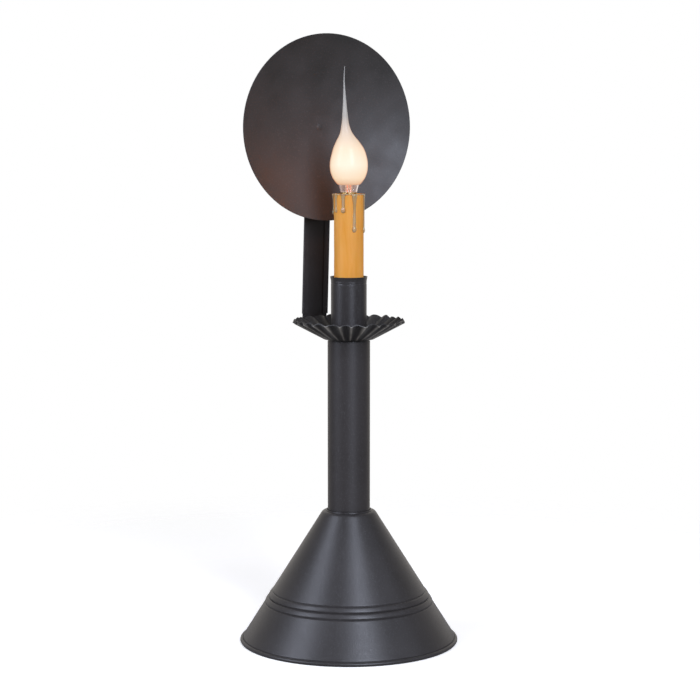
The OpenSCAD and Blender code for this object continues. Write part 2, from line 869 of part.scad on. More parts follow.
// Rivet that holds the spring strip, the socket's body and the leg's tab together
module socket_rivet() {
    head_r = eyelet_head_d / 2;
    low = socket_z - leg_t;
    high = socket_floor + contact_t;
    color(brass)
        rotate_extrude()
            polygon([
                [0, low - eyelet_head_t],
                [head_r, low - eyelet_head_t],
                [head_r, low],
                [eyelet_r, low],
                [eyelet_r, high],
                [head_r, high],
                [head_r, high + eyelet_head_t],
                [0, high + eyelet_head_t]
            ]);
}

module terminal_screws() {
    slot_w = 0.8;
    slot_t = 0.6;
    color(brass)
        at_terminals()
            difference() {
                union() {
                    cylinder(d = terminal_head_d, h = terminal_head_t);
                    translate([0, 0, seat_gap - terminal_shank_h])
                        cylinder(d = terminal_shank_d, h = terminal_shank_h);
                }
                translate([-terminal_head_d, -slot_w / 2, terminal_head_t - slot_t])
                    cube([2 * terminal_head_d, slot_w, slot_t + cut]);
            }
}

module candle_sleeve() {
    color(wax_tan)
        washer(sleeve_r, sleeve_bore_r, sleeve_h, cup_floor);
}

// One wax run, from the sleeve's top down to its bead
module drip(length, r) {
    axis_r = sleeve_r + (drip_proud - 1) * r;
    bead = drip_bead * r;
    translate([axis_r, 0, sleeve_top - length + bead]) {
        cylinder(r = r, h = length - bead);
        sphere(r = bead);
    }
}

module wax_drips() {
    color(wax_cream)
        difference() {
            for (d = drips)
                rotate([0, 0, d[0]])
                    drip(d[1], d[2]);
            translate([0, 0, cup_floor])
                cylinder(r = sleeve_r, h = sleeve_h + cut);
        }
}

module bulb_screw_base() {
    color(brass)
        looped_skin(concat(
            [ring(screw_foot_r, screw_z, thread_sides)],
            [for (z = thread_heights)
                thread_ring(thread_minor, thread_major, z, thread_share(z, thread_z, thread_top))],
            [
                ring(bulb_collar_r, bulb_collar_z, thread_sides),
                ring(bulb_collar_r, bulb_collar_top, thread_sides),
                ring(screw_bore_r, bulb_collar_top, thread_sides),
                ring(screw_bore_r, screw_z, thread_sides)
            ]
        ));
}

// Black glass plug under the screw base's foot
module bulb_insulator() {
    plug_r = screw_bore_r - run_gap;
    color([0.03, 0.03, 0.035])
        rotate_extrude()
            polygon([
                [0, screw_z - insulator_t],
                [foot_r, screw_z - insulator_t],
                [screw_foot_r, screw_z - insulator_lip_t],
                [screw_foot_r, screw_z],
                [plug_r, screw_z],
                [plug_r, screw_z + insulator_lip_t],
                [0, screw_z + insulator_lip_t]
            ]);
}

module bulb_foot_contact() {
    color(zinc)
        translate([0, 0, contact_top])
            cylinder(r1 = foot_r - foot_t, r2 = foot_r, h = foot_t);
}

// Half section of a glass egg on its neck, drawn in for its inside
module glass_section(inset) {
    steps = 24;
    r = glass_r - inset;
    low = glass_low - inset;
    high = glass_high - inset;
    neck_r = glass_neck_r - inset;
    waist_r = glass_waist_r - inset;
    waist_z = bulb_collar_top + inset;
    start = acos(waist_r / r);
    polygon(concat(
        [[0, glass_z + inset], [neck_r, glass_z + inset], [neck_r, waist_z], [waist_r, waist_z]],
        [for (i = [0:steps])
            let (a = -start + (90 + start) * i / steps)
            [r * cos(a), coat_mid + (a < 0 ? low : high) * sin(a)]]
    ));
}

module bulb_glass() {
    color([0.9, 0.9, 0.88, 0.5])
        rotate_extrude()
            difference() {
                glass_section(0);
                glass_section(glass_t);
            }
}

// Radius of the coat above its widest place, where the tail grows out of the round part
function coat_upper(z) =
    let (
        u = min(1, (z - coat_mid) / coat_high),
        ball = coat_r * pow(1 - u * u, shoulder_taper),
        t = max(0, coat_tip - z) / tail_h,
        tail = tail_tip_r + (tail_r - tail_tip_r) * pow(t, tail_taper)
    )
    min(coat_r, pow(pow(ball, tail_blend) + pow(tail, tail_blend), 1 / tail_blend));

// Centre of the coat at a height: the tail leans off the axis
function coat_centre(z) =
    let (t = max(0, min(1, (z - coat_mid) / (coat_high + tail_h / 2))))
    tail_lean * t * t * (3 - 2 * t) * [cos(tail_bearing), sin(tail_bearing)];

module bulb_coat() {
    inner_rows = 18;
    low_rows = 8;
    high_rows = 10;
    tail_rows = 9;
    crown = 86; // the hollow starts just off its pole
    inner_foot = acos(glass_waist_r / glass_r);
    inner = [for (i = [0:inner_rows])
        let (a = crown - (crown + inner_foot) * i / inner_rows)
        ring(
            glass_r * cos(a) + skin_gap,
            coat_mid + (a < 0 ? glass_low : glass_high + skin_gap) * sin(a),
            coat_sides
        )];
    edge = ring(glass_waist_r + skin_gap, coat_edge_z, coat_sides);
    low = [for (i = [0:low_rows])
        let (a = -coat_foot * (1 - i / low_rows))
        ring(coat_r * cos(a), coat_mid + coat_low * sin(a), coat_sides)];
    high = [for (i = [1:high_rows])
        let (z = coat_mid + coat_high * i / high_rows)
        ring(coat_upper(z), z, coat_sides, coat_centre(z))];
    tail = [for (i = [1:tail_rows])
        let (z = coat_ball_top + tail_h * i / tail_rows)
        ring(coat_upper(z), z, coat_sides, coat_centre(z))];
    color(warm_white)
        capped_skin(concat(inner, [edge], low, high, tail));
}

module bulb_stem() {
    color([0.85, 0.87, 0.86, 0.6])
        translate([0, 0, stem_z])
            cylinder(r1 = stem_d / 2 + stem_flare, r2 = stem_d / 2, h = stem_top - stem_z);
}

module bulb_lead_wires() {
    color(zinc)
        for (side = [-1, 1])
            translate([side * lead_x, 0, stem_top])
                cylinder(d = lead_d, h = filament_z - stem_top);
}

module bulb_filament() {
    color([0.9, 0.7, 0.4])
        translate([0, 0, filament_z])
            rotate([90, 0, 0])
                rotate_extrude(angle = 180)
                    translate([lead_x, 0])
                        circle(d = filament_d);
}

base_cone();
rim_wire();
cord_bushing();
base_washer();
base_locknut();
foot_ring();
column_tube();
top_ring();
stem_pipe();
reflector_strip();
reflector_dish();
reflector_rivet();
drip_pan();
candle_cup();
cup_lock_washer();
cup_nut();
socket_leg();
socket_body();
socket_screw_shell();
socket_contact();
socket_rivet();
terminal_screws();
candle_sleeve();
wax_drips();
bulb_screw_base();
bulb_insulator();
bulb_foot_contact();
bulb_glass();
bulb_coat();
bulb_stem();
bulb_lead_wires();
bulb_filament();
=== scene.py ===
import json
import math
import random

import bmesh
import bpy
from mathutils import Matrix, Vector, noise


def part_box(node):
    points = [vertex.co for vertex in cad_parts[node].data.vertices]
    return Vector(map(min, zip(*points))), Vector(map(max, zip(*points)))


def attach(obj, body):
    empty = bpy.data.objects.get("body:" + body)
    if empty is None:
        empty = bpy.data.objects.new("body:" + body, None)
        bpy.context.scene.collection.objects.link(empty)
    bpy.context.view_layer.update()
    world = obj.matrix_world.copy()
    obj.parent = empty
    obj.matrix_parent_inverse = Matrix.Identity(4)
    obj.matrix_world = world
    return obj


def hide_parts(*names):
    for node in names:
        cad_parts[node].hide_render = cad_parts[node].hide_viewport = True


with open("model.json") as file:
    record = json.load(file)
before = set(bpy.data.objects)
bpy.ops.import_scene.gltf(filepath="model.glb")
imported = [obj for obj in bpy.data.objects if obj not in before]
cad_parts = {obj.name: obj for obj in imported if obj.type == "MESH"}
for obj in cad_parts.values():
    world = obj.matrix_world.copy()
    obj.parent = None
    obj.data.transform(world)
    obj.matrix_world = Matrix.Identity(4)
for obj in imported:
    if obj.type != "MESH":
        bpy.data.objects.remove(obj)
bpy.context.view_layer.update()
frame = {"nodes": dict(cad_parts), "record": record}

scene = bpy.context.scene
scene.view_settings.view_transform = "Standard"
scene.view_settings.look = "None"


def mm(value):
    return value / 1000


# camera fitted to the rim, column, pan, cup, sleeve and reflector
cameraSet = {
    "distance": 1.6014,  # from the stem's axis
    "height": 0.40305,
    "turn": 27.09,  # degrees left of the lamp's front
    "pitch": 6.48,  # degrees downward
    "sideStep": 0.00087,
    "lens": 110.9,
    "sensor": 36.0,
}


def addCamera(settings):
    turn = math.radians(settings["turn"])
    ahead = Vector((math.sin(turn), math.cos(turn), 0))
    right = Vector((ahead.y, -ahead.x, 0))
    data = bpy.data.cameras.new("photoCamera")
    data.sensor_width = settings["sensor"]
    data.lens = settings["lens"]
    camera = bpy.data.objects.new("photoCamera", data)
    camera.location = right * settings["sideStep"] - ahead * settings["distance"]
    camera.location.z = settings["height"]
    camera.rotation_euler = (math.radians(90 - settings["pitch"]), 0, -turn)
    scene.collection.objects.link(camera)
    scene.camera = camera


addCamera(cameraSet)
print("camera placed")


# mesh helpers: rings of points are joined in order, and every piece is a closed skin
def loft(name, rings, looped=False):
    sides = len(rings[0])
    count = len(rings)
    faces = []
    for j in range(count if looped else count - 1):
        low = j * sides
        high = (j + 1) % count * sides
        for i in range(sides):
            k = (i + 1) % sides
            faces.append((low + i, low + k, high + k, high + i))
    if not looped:
        faces.append(list(range(sides))[::-1])
        faces.append(list(range((count - 1) * sides, count * sides)))
    mesh = bpy.data.meshes.new(name)
    mesh.from_pydata([p for ring in rings for p in ring], [], faces)
    mesh.validate()
    mesh.shade_smooth()
    piece = bpy.data.objects.new(name, mesh)
    scene.collection.objects.link(piece)
    return piece


def turnsOf(count):
    return [2 * math.pi * i / count for i in range(count)]


def ringAt(radius, z, sides, centre=(0, 0)):
    x, y = centre
    return [Vector((x + radius * math.cos(a), y + radius * math.sin(a), z)) for a in turnsOf(sides)]


def turned(name, profile, sides):
    return loft(name, [ringAt(r, z, sides) for r, z in profile], looped=True)


# smooth cubic line through a few given points
def smoothLine(points, steps):
    line = []
    last = len(points) - 1
    for k in range(last):
        a, b, c, d = (points[min(max(k + o, 0), last)] for o in (-1, 0, 1, 2))
        for s in range(steps):
            t = s / steps
            line.append(tuple(
                0.5 * (2 * q + (r - p) * t
                       + (2 * p - 5 * q + 4 * r - e) * t ** 2
                       + (3 * q - p - 3 * r + e) * t ** 3)
                for p, q, r, e in zip(a, b, c, d)
            ))
    line.append(points[-1])
    return line


def sharpenEdges(piece, degrees=50):
    piece.data.set_sharp_from_angle(angle=math.radians(degrees))


def joinPieces(pieces, name):
    whole = pieces[0]
    with bpy.context.temp_override(active_object=whole, selected_editable_objects=pieces):
        bpy.ops.object.join()
    whole.name = name
    return whole


# shader helpers
noiseSpan = {"From Min": 0.3, "From Max": 0.7}  # where most of a noise texture's values lie


def addNode(tree, kind, values=None, **fields):
    node = tree.nodes.new(kind)
    for field, value in fields.items():
        setattr(node, field, value)
    for socket, value in (values or {}).items():
        node.inputs[socket].default_value = value
    return node


# a and b are fixed colours or the sockets of other nodes
def mixColors(tree, factor, a, b):
    mix = addNode(tree, "ShaderNodeMix", data_type="RGBA")
    for label, color in (("A", a), ("B", b)):
        if isinstance(color, tuple):
            mix.inputs[label].default_value = (*color, 1)
        else:
            tree.links.new(color, mix.inputs[label])
    tree.links.new(factor, mix.inputs["Factor"])
    return mix.outputs["Result"]


def combine(tree, operation, a, b, **fields):
    node = addNode(tree, "ShaderNodeMath", operation=operation, **fields)
    tree.links.new(a, node.inputs[0])
    tree.links.new(b, node.inputs[1])
    return node.outputs["Value"]


def placeOn(tree):
    return addNode(tree, "ShaderNodeTexCoord").outputs["Object"]


def newGroup(name, inputs, outputs):
    tree = bpy.data.node_groups.new(name, "ShaderNodeTree")
    for label, kind, value in inputs:
        socket = tree.interface.new_socket(label, in_out="INPUT", socket_type=kind)
        socket.default_value = value
    for label, kind in outputs:
        tree.interface.new_socket(label, in_out="OUTPUT", socket_type=kind)
    start = tree.nodes.new("NodeGroupInput")
    end = tree.nodes.new("NodeGroupOutput")
    return tree, start, end


def useGroup(tree, group, **values):
    node = tree.nodes.new("ShaderNodeGroup")
    node.node_tree = group
    for socket, value in values.items():
        node.inputs[socket].default_value = value
    return node


# fine grain of sprayed paint, plus slow drifts of tone
def makeGrain():
    tree, start, end = newGroup(
        "sprayGrain",
        [("Grain", "NodeSocketFloat", 900.0), ("Drift", "NodeSocketFloat", 25.0)],
        [("Height", "NodeSocketFloat"), ("Speck", "NodeSocketFloat"), ("Tone", "NodeSocketFloat")],
    )
    link = tree.links.new
    place = placeOn(tree)
    fine = addNode(tree, "ShaderNodeTexNoise", {"Detail": 3.0, "Roughness": 0.6})
    slow = addNode(tree, "ShaderNodeTexNoise", {"Detail": 2.0, "Roughness": 0.5})
    speck = addNode(tree, "ShaderNodeMapRange", {"From Min": 0.55, "From Max": 0.75})
    link(place, fine.inputs["Vector"])
    link(place, slow.inputs["Vector"])
    link(start.outputs["Grain"], fine.inputs["Scale"])
    link(start.outputs["Drift"], slow.inputs["Scale"])
    link(fine.outputs["Fac"], speck.inputs["Value"])
    link(fine.outputs["Fac"], end.inputs["Height"])
    link(speck.outputs["Result"], end.inputs["Speck"])
    link(slow.outputs["Fac"], end.inputs["Tone"])
    return tree


# where a bevelled normal leaves the true one, an edge is rubbed
def makeRub():
    tree, start, end = newGroup(
        "rubbedEdge",
        [("Width", "NodeSocketFloat", 0.0005), ("Breakup", "NodeSocketFloat", 300.0)],
        [("Mask", "NodeSocketFloat")],
    )
    link = tree.links.new
    bevel = addNode(tree, "ShaderNodeBevel", samples=4)
    surface = addNode(tree, "ShaderNodeNewGeometry")
    facing = addNode(tree, "ShaderNodeVectorMath", operation="DOT_PRODUCT")
    edge = addNode(tree, "ShaderNodeMapRange", {"From Min": 0.995, "From Max": 0.9})
    patch = addNode(tree, "ShaderNodeTexNoise", {"Detail": 3.0})
    gate = addNode(tree, "ShaderNodeMapRange", {"From Min": 0.4, "From Max": 0.65})
    link(start.outputs["Width"], bevel.inputs["Radius"])
    link(start.outputs["Breakup"], patch.inputs["Scale"])
    link(placeOn(tree), patch.inputs["Vector"])
    link(bevel.outputs["Normal"], facing.inputs[0])
    link(surface.outputs["Normal"], facing.inputs[1])
    link(facing.outputs["Value"], edge.inputs["Value"])
    link(patch.outputs["Fac"], gate.inputs["Value"])
    link(combine(tree, "MULTIPLY", edge.outputs["Result"], gate.outputs["Result"]), end.inputs["Mask"])
    return tree


# cloudy depth of cast wax
def makeMottle():
    tree, start, end = newGroup(
        "waxMottle",
        [("Scale", "NodeSocketFloat", 120.0), ("Deep", "NodeSocketColor", (0.6, 0.25, 0.06, 1)),
         ("Pale", "NodeSocketColor", (0.8, 0.4, 0.12, 1))],
        [("Color", "NodeSocketColor"), ("Height", "NodeSocketFloat")],
    )
    link = tree.links.new
    stretch = {1: (1, 1, 0.12)}  # drawn out along the candle
    draw = addNode(tree, "ShaderNodeVectorMath", stretch, operation="MULTIPLY")
    cloud = addNode(tree, "ShaderNodeTexNoise", {"Detail": 4.0, "Roughness": 0.55, "Distortion": 0.4})
    ease = addNode(tree, "ShaderNodeMapRange", noiseSpan)
    link(placeOn(tree), draw.inputs[0])
    link(draw.outputs["Vector"], cloud.inputs["Vector"])
    link(start.outputs["Scale"], cloud.inputs["Scale"])
    link(cloud.outputs["Fac"], ease.inputs["Value"])
    color = mixColors(tree, ease.outputs["Result"], start.outputs["Deep"], start.outputs["Pale"])
    link(color, end.inputs["Color"])
    link(cloud.outputs["Fac"], end.inputs["Height"])
    return tree


sprayGrain = makeGrain()
rubbedEdge = makeRub()
waxMottle = makeMottle()
print("shared shader groups built")


def grainOf(tree, settings):
    return useGroup(tree, sprayGrain, Grain=settings["grain"], Drift=settings["drift"])


def cloudOf(tree, settings):
    deep, pale = ((*settings[key], 1) for key in ("deep", "pale"))
    return useGroup(tree, waxMottle, Scale=settings["cloud"], Deep=deep, Pale=pale)


def newFinish(name, **sockets):
    material = bpy.data.materials.new(name)
    material.use_nodes = True
    shader = material.node_tree.nodes["Principled BSDF"]
    for socket, value in sockets.items():
        shader.inputs[socket.replace("_", " ")].default_value = value
    return material, material.node_tree, shader


def spread(tree, value, low, high):
    span = addNode(tree, "ShaderNodeMapRange", {**noiseSpan, "To Min": low, "To Max": high})
    tree.links.new(value, span.inputs["Value"])
    return span.outputs["Result"]


def bumpFrom(tree, shader, height, distance):
    bump = addNode(tree, "ShaderNodeBump", {"Distance": distance, "Strength": 1.0})
    tree.links.new(height, bump.inputs["Height"])
    tree.links.new(bump.outputs["Normal"], shader.inputs["Normal"])


def glowWith(tree, shader, color, strength):
    tree.links.new(color, shader.inputs["Emission Color"])
    shader.inputs["Emission Strength"].default_value = strength


# height along the lamp, from 0 at low to 1 at high
def heightShare(tree, low, high):
    axes = addNode(tree, "ShaderNodeSeparateXYZ")
    share = addNode(tree, "ShaderNodeMapRange", {"From Min": low, "From Max": high})
    tree.links.new(placeOn(tree), axes.inputs["Vector"])
    tree.links.new(axes.outputs["Z"], share.inputs["Value"])
    return share.outputs["Result"]


def rampOver(tree, factor, stops):
    ramp = addNode(tree, "ShaderNodeValToRGB")
    points = ramp.color_ramp.elements
    while len(points) < len(stops):
        points.new(0.5)
    for point, (at, color) in zip(points, stops):
        point.position = at
        point.color = (*color, 1)
    tree.links.new(factor, ramp.inputs["Fac"])
    return ramp.outputs["Color"]


# coated metal with grain, slow tone and rubbed edges; an optional mask kept on the mesh paints it paler,
# with rubbed paint and a painted highlight
def metalFinish(name, settings, wearAndHighlight=None):
    material, tree, shader = newFinish(name, Metallic=settings["metallic"])
    grain = grainOf(tree, settings)
    rub = useGroup(tree, rubbedEdge, Width=settings["rubWidth"])
    tone = spread(tree, grain.outputs["Tone"], 0.0, 1.0)
    color = mixColors(tree, tone, settings["dark"], settings["light"])
    color = mixColors(tree, grain.outputs["Speck"], color, settings["fleck"])
    color = mixColors(tree, rub.outputs["Mask"], color, settings["rubbed"])
    if wearAndHighlight:
        mask = addNode(tree, "ShaderNodeAttribute", attribute_name=wearAndHighlight)
        color = mixColors(tree, mask.outputs["Fac"], color, settings["wornAndHighlight"])
    tree.links.new(color, shader.inputs["Base Color"])
    roughBy = grain.outputs[settings.get("roughBy", "Height")]
    rough = spread(tree, roughBy, settings["roughLow"], settings["roughHigh"])
    tree.links.new(rough, shader.inputs["Roughness"])
    bumpFrom(tree, shader, grain.outputs["Height"], settings["bump"])
    return material


satinBlackSet = {
    "metallic": 0.0, "dark": (0.0222, 0.0195, 0.0188), "light": (0.0305, 0.027, 0.0262),
    "rubbed": (0.032, 0.03, 0.029), "fleck": (0.045, 0.043, 0.044), "grain": 950.0, "drift": 30.0,
    "rubWidth": 0.0004, "roughLow": 0.34, "roughHigh": 0.48, "bump": 0.00004,
}
# cup and foot ring
smoothBlackSet = {**satinBlackSet, "roughLow": 0.29, "roughHigh": 0.42}
# column
warmBlackSet = {
    **satinBlackSet, "dark": (0.0245, 0.0205, 0.0195), "light": (0.031, 0.0265, 0.0255),
    "fleck": (0.05, 0.046, 0.045), "roughLow": 0.4, "roughHigh": 0.52,
}
# reflector and its rivet
spunBlackSet = {
    **satinBlackSet, "dark": (0.0215, 0.023, 0.0215), "light": (0.0275, 0.0285, 0.027), "drift": 45.0,
    "roughBy": "Tone", "roughLow": 0.44, "roughHigh": 0.59,
}
# drip pan, paler along its folds with rubbed paint and a painted highlight
foldedBlackSet = {
    # paint darker than the satin black: painted shade for the pan's shaded underside
    **satinBlackSet, "dark": (0.015, 0.0135, 0.0125), "light": (0.021, 0.019, 0.0175),
    # paler along the folds: rubbed paint and a painted highlight
    "wornAndHighlight": (0.38, 0.35, 0.3), "roughLow": 0.4, "roughHigh": 0.54,
}
zincSet = {
    "metallic": 1.0, "dark": (0.5, 0.5, 0.49), "light": (0.66, 0.66, 0.65), "rubbed": (0.75, 0.75, 0.74),
    "fleck": (0.6, 0.6, 0.6), "grain": 700.0, "drift": 120.0, "rubWidth": 0.0003,
    "roughLow": 0.3, "roughHigh": 0.45, "bump": 0.00001,
}
brassSet = {
    "metallic": 1.0, "dark": (0.62, 0.4, 0.14), "light": (0.78, 0.56, 0.24), "rubbed": (0.85, 0.66, 0.34),
    "fleck": (0.66, 0.45, 0.18), "grain": 900.0, "drift": 200.0, "rubWidth": 0.0002,
    "roughLow": 0.2, "roughHigh": 0.35, "bump": 0.000005,
}
bushingSet = {
    "metallic": 0.0, "dark": (0.016, 0.016, 0.016), "light": (0.026, 0.026, 0.026),
    "rubbed": (0.05, 0.05, 0.05), "fleck": (0.03, 0.03, 0.03), "grain": 1800.0, "drift": 150.0,
    "rubWidth": 0.0003, "roughLow": 0.48, "roughHigh": 0.6, "bump": 0.00002,
}
socketSet = {
    "metallic": 0.0, "dark": (0.02, 0.016, 0.013), "light": (0.035, 0.028, 0.022),
    "rubbed": (0.06, 0.05, 0.04), "fleck": (0.04, 0.033, 0.027), "grain": 1200.0, "drift": 200.0,
    "rubWidth": 0.0003, "roughLow": 0.28, "roughHigh": 0.4, "bump": 0.00001,
}

# wax tube: cloudy tan, with a painted glow for light from inside, brighter at the lip as a painted
# highlight
tanWaxSet = {
    "deep": (0.6, 0.245, 0.03), "pale": (0.68, 0.32, 0.075), "cloud": 160.0, "bump": 0.00003,
    "inner": (0.62, 0.25, 0.03), "lip": (1.0, 0.6, 0.32), "lipFrom": 0.3368, "lipTo": 0.3375,
    "strength": 0.12,
}


def tanWaxFinish(settings):
    material, tree, shader = newFinish(
        "tanWax", Roughness=0.55, Specular_IOR_Level=0.1, Subsurface_Weight=0.2, Subsurface_Scale=0.0015,
        Subsurface_Radius=(1.0, 0.4, 0.15))
    cloud = cloudOf(tree, settings)
    tree.links.new(cloud.outputs["Color"], shader.inputs["Base Color"])
    bumpFrom(tree, shader, cloud.outputs["Height"], settings["bump"])
    # painted glow over the tube, brighter at the lip as a painted highlight
    lit = heightShare(tree, settings["lipFrom"], settings["lipTo"])
    glowWith(tree, shader, mixColors(tree, lit, settings["inner"], settings["lip"]), settings["strength"])
    return material


# runs of milky wax that let the tube show through
paleWaxSet = {
    "deep": (0.42, 0.29, 0.13), "pale": (0.56, 0.44, 0.26), "rim": (0.4, 0.17, 0.03),
    "cloud": 500.0, "bump": 0.00003,
}


def paleWaxFinish(settings):
    material, tree, shader = newFinish(
        "paleWax", Roughness=0.2, Subsurface_Weight=0.3, Subsurface_Scale=0.001, Alpha=0.7, Coat_Weight=0.3)
    cloud = cloudOf(tree, settings)
    edge = addNode(tree, "ShaderNodeAttribute", attribute_name="waxEdge")
    color = mixColors(tree, edge.outputs["Fac"], cloud.outputs["Color"], settings["rim"])
    tree.links.new(color, shader.inputs["Base Color"])
    bumpFrom(tree, shader, cloud.outputs["Height"], settings["bump"])
    return material


# clear glass; its neck has a painted glow of the lamp's own light, brighter toward the outline as a painted
# reflection
glassGlowSet = {
    "middle": (0.1, 0.045, 0.03), "edge": (0.6, 0.5, 0.48), "strength": 0.36,
    "cool": (0.96, 0.97, 0.96), "warm": (0.99, 0.98, 0.96), "grain": 200.0, "drift": 60.0, "bump": 0.00002,
}


def glassFinish(settings):
    material, tree, shader = newFinish("clearGlass", Roughness=0.03, IOR=1.46, Transmission_Weight=1.0)
    facing = addNode(tree, "ShaderNodeLayerWeight", {"Blend": 0.3})
    glow = mixColors(tree, facing.outputs["Facing"], settings["middle"], settings["edge"])
    glowWith(tree, shader, glow, settings["strength"])
    grain = grainOf(tree, settings)
    tone = spread(tree, grain.outputs["Tone"], 0, 1)
    tree.links.new(mixColors(tree, tone, settings["cool"], settings["warm"]), shader.inputs["Base Color"])
    bumpFrom(tree, shader, grain.outputs["Tone"], settings["bump"])
    return material


# dipped silicone: glows over the lamp inside, turns clear and grey along its tail
coatLow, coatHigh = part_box("bulb_coat")
siliconeSet = {
    "color": [(0.0, (0.34, 0.25, 0.18)), (0.2, (0.36, 0.31, 0.24)), (0.45, (0.4, 0.35, 0.29)),
              (0.62, (0.52, 0.49, 0.44)), (1.0, (0.56, 0.54, 0.5))],
    "glow": [(0.0, (0.62, 0.36, 0.22)), (0.05, (0.73, 0.57, 0.4)), (0.17, (0.72, 0.61, 0.48)),
             (0.3, (0.64, 0.48, 0.32)), (0.47, (0.32, 0.23, 0.16)), (0.58, (0.08, 0.07, 0.055)),
             (0.75, (0.02, 0.018, 0.016)), (1.0, (0.0, 0.0, 0.0))],
    "alpha": [(0.0, 1.0), (0.45, 1.0), (0.58, 0.66), (0.8, 0.52), (1.0, 0.35)],
    # tints of the glow, from face on to the outline
    "limb": [(0.0, (1, 1, 1)), (0.6, (1.0, 0.93, 0.82)), (0.9, (0.62, 0.27, 0.12))],
    "strength": 1.0, "grain": 250.0, "drift": 40.0, "bump": 0.00004,
}


def siliconeFinish(settings):
    material, tree, shader = newFinish("siliconeCoat", Roughness=0.27, IOR=1.41, Specular_IOR_Level=0.18)
    share = heightShare(tree, coatLow.z, coatHigh.z)
    tree.links.new(rampOver(tree, share, settings["color"]), shader.inputs["Base Color"])
    facing = addNode(tree, "ShaderNodeLayerWeight", {"Blend": 0.5})
    limb = addNode(tree, "ShaderNodeMix", {"Factor": 1.0}, data_type="RGBA", blend_type="MULTIPLY")
    tree.links.new(rampOver(tree, facing.outputs["Facing"], settings["limb"]), limb.inputs["B"])
    tree.links.new(rampOver(tree, share, settings["glow"]), limb.inputs["A"])
    glowWith(tree, shader, limb.outputs["Result"], settings["strength"])
    alpha = [(at, (value, value, value)) for at, value in settings["alpha"]]
    tree.links.new(rampOver(tree, share, alpha), shader.inputs["Alpha"])
    grain = grainOf(tree, settings)
    bumpFrom(tree, shader, grain.outputs["Height"], settings["bump"])
    return material


filamentSet = {
    "cool": (1.0, 0.45, 0.12), "hot": (1.0, 0.62, 0.25), "strength": 12.0, "grain": 2500.0, "drift": 900.0,
}


def filamentFinish(settings):
    material, tree, shader = newFinish("hotFilament", Metallic=1.0, Roughness=0.4)
    grain = grainOf(tree, settings)
    heat = mixColors(tree, grain.outputs["Tone"], settings["cool"], settings["hot"])
    glowWith(tree, shader, heat, settings["strength"])
    return material


# the lit stem and the copper-clad wires show through the clear neck
stemSet = {
    "deep": (0.9, 0.42, 0.2), "pale": (1.0, 0.68, 0.4), "strength": 0.5, "grain": 400.0, "drift": 500.0,
}


def litStemFinish(settings):
    material, tree, shader = newFinish("litStem", Roughness=0.12, Alpha=0.3)
    grain = grainOf(tree, settings)
    tone = spread(tree, grain.outputs["Tone"], 0, 1)
    glowWith(tree, shader, mixColors(tree, tone, settings["deep"], settings["pale"]), settings["strength"])
    return material


wireSet = {
    "metallic": 1.0, "dark": (0.6, 0.14, 0.06), "light": (0.75, 0.22, 0.1), "rubbed": (0.8, 0.3, 0.16),
    "fleck": (0.7, 0.2, 0.09), "grain": 900.0, "drift": 300.0, "rubWidth": 0.0001,
    "roughLow": 0.3, "roughHigh": 0.4, "bump": 0.000004,
    "glowLow": (0.45, 0.06, 0.03), "glowHigh": (0.55, 0.11, 0.05), "glowDrift": 600.0, "strength": 0.7,
}


# the copper-clad wire gets a painted glow, standing for the bulb's warm light reflected on it
def wireFinish(settings):
    material = metalFinish("copperWire", settings)
    tree = material.node_tree
    grain = useGroup(tree, sprayGrain, Grain=settings["grain"], Drift=settings["glowDrift"])
    lit = mixColors(tree, grain.outputs["Tone"], settings["glowLow"], settings["glowHigh"])
    glowWith(tree, tree.nodes["Principled BSDF"], lit, settings["strength"])
    return material


finishes = {
    "satin_black_paint": metalFinish("satinBlack", satinBlackSet),
    "zinc_plated_steel": metalFinish("zincPlate", zincSet),
    "brass": metalFinish("spunBrass", brassSet),
    "black_plastic": metalFinish("bushingPlastic", bushingSet),
    "socket_black": metalFinish("socketPlastic", socketSet),
    "tan_wax": tanWaxFinish(tanWaxSet),
    "pale_wax": paleWaxFinish(paleWaxSet),
    "clear_glass": glassFinish(glassGlowSet),
    "silicone_coat": siliconeFinish(siliconeSet),
    "filament": filamentFinish(filamentSet),
}
slotOf = {part["node"]: part["material_slot"] for part in frame["record"]["subparts"]}
for name, node in frame["nodes"].items():
    if not node.material_slots:
        node.data.materials.append(None)
    for slot in node.material_slots:
        slot.material = finishes[slotOf[name]]
smoothBlack = metalFinish("smoothBlack", smoothBlackSet)
spunBlack = metalFinish("spunBlack", spunBlackSet)
copperWire = wireFinish(wireSet)
ownFinishes = {
    "candle_cup": smoothBlack,
    "column_tube": metalFinish("warmBlack", warmBlackSet),
    "bulb_lead_wires": copperWire,
    "bulb_stem": litStemFinish(stemSet),
}
for name, finish in ownFinishes.items():
    frame["nodes"][name].material_slots[0].material = finish
print("finishes set on", len(slotOf), "nodes")


# a finer piece takes a node's place, body and slot, with the slot's finish or its own
def standsFor(piece, node, body, finish=None):
    slot = slotOf[node]
    piece.data.materials.append(finish or finishes[slot])
    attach(piece, body)
    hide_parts(node)
    return piece


# base cone: sheet with two beads between three creases, and a fourth crease above its rolled rim
coneSet = {
    "sides": 240, "sheet": 0.0007, "top": 0.0196, "shoulder": 0.0022, "bendSteps": 6, "hole": 0.0051,
    "rimRadius": 0.00155, "rimCrease": 0.0019, "rollFrom": 95, "rollStep": 10, "rollCount": 35,
    "wallFoot": 0.00085, "wallEnd": 0.0016, "wallStep": 0.0015, "insideEnd": 0.004,
    "beadAt": 0.0723, "beadWidth": 0.0051, "beads": 2, "beadRise": 0.0005,
    "creaseDepth": 0.00045, "creaseWidth": 0.0005, "creaseReach": 0.0035, "creaseStep": 0.0002,
    "creaseSteps": 15,
    "seamBearing": 239.0, "seamRise": 0.0003, "seamWidth": 0.012, "seamReach": 0.003, "seamLow": 0.001,
    "cordHeight": 0.0152, "cordClear": 0.0045, "cordReach": 0.01,
}


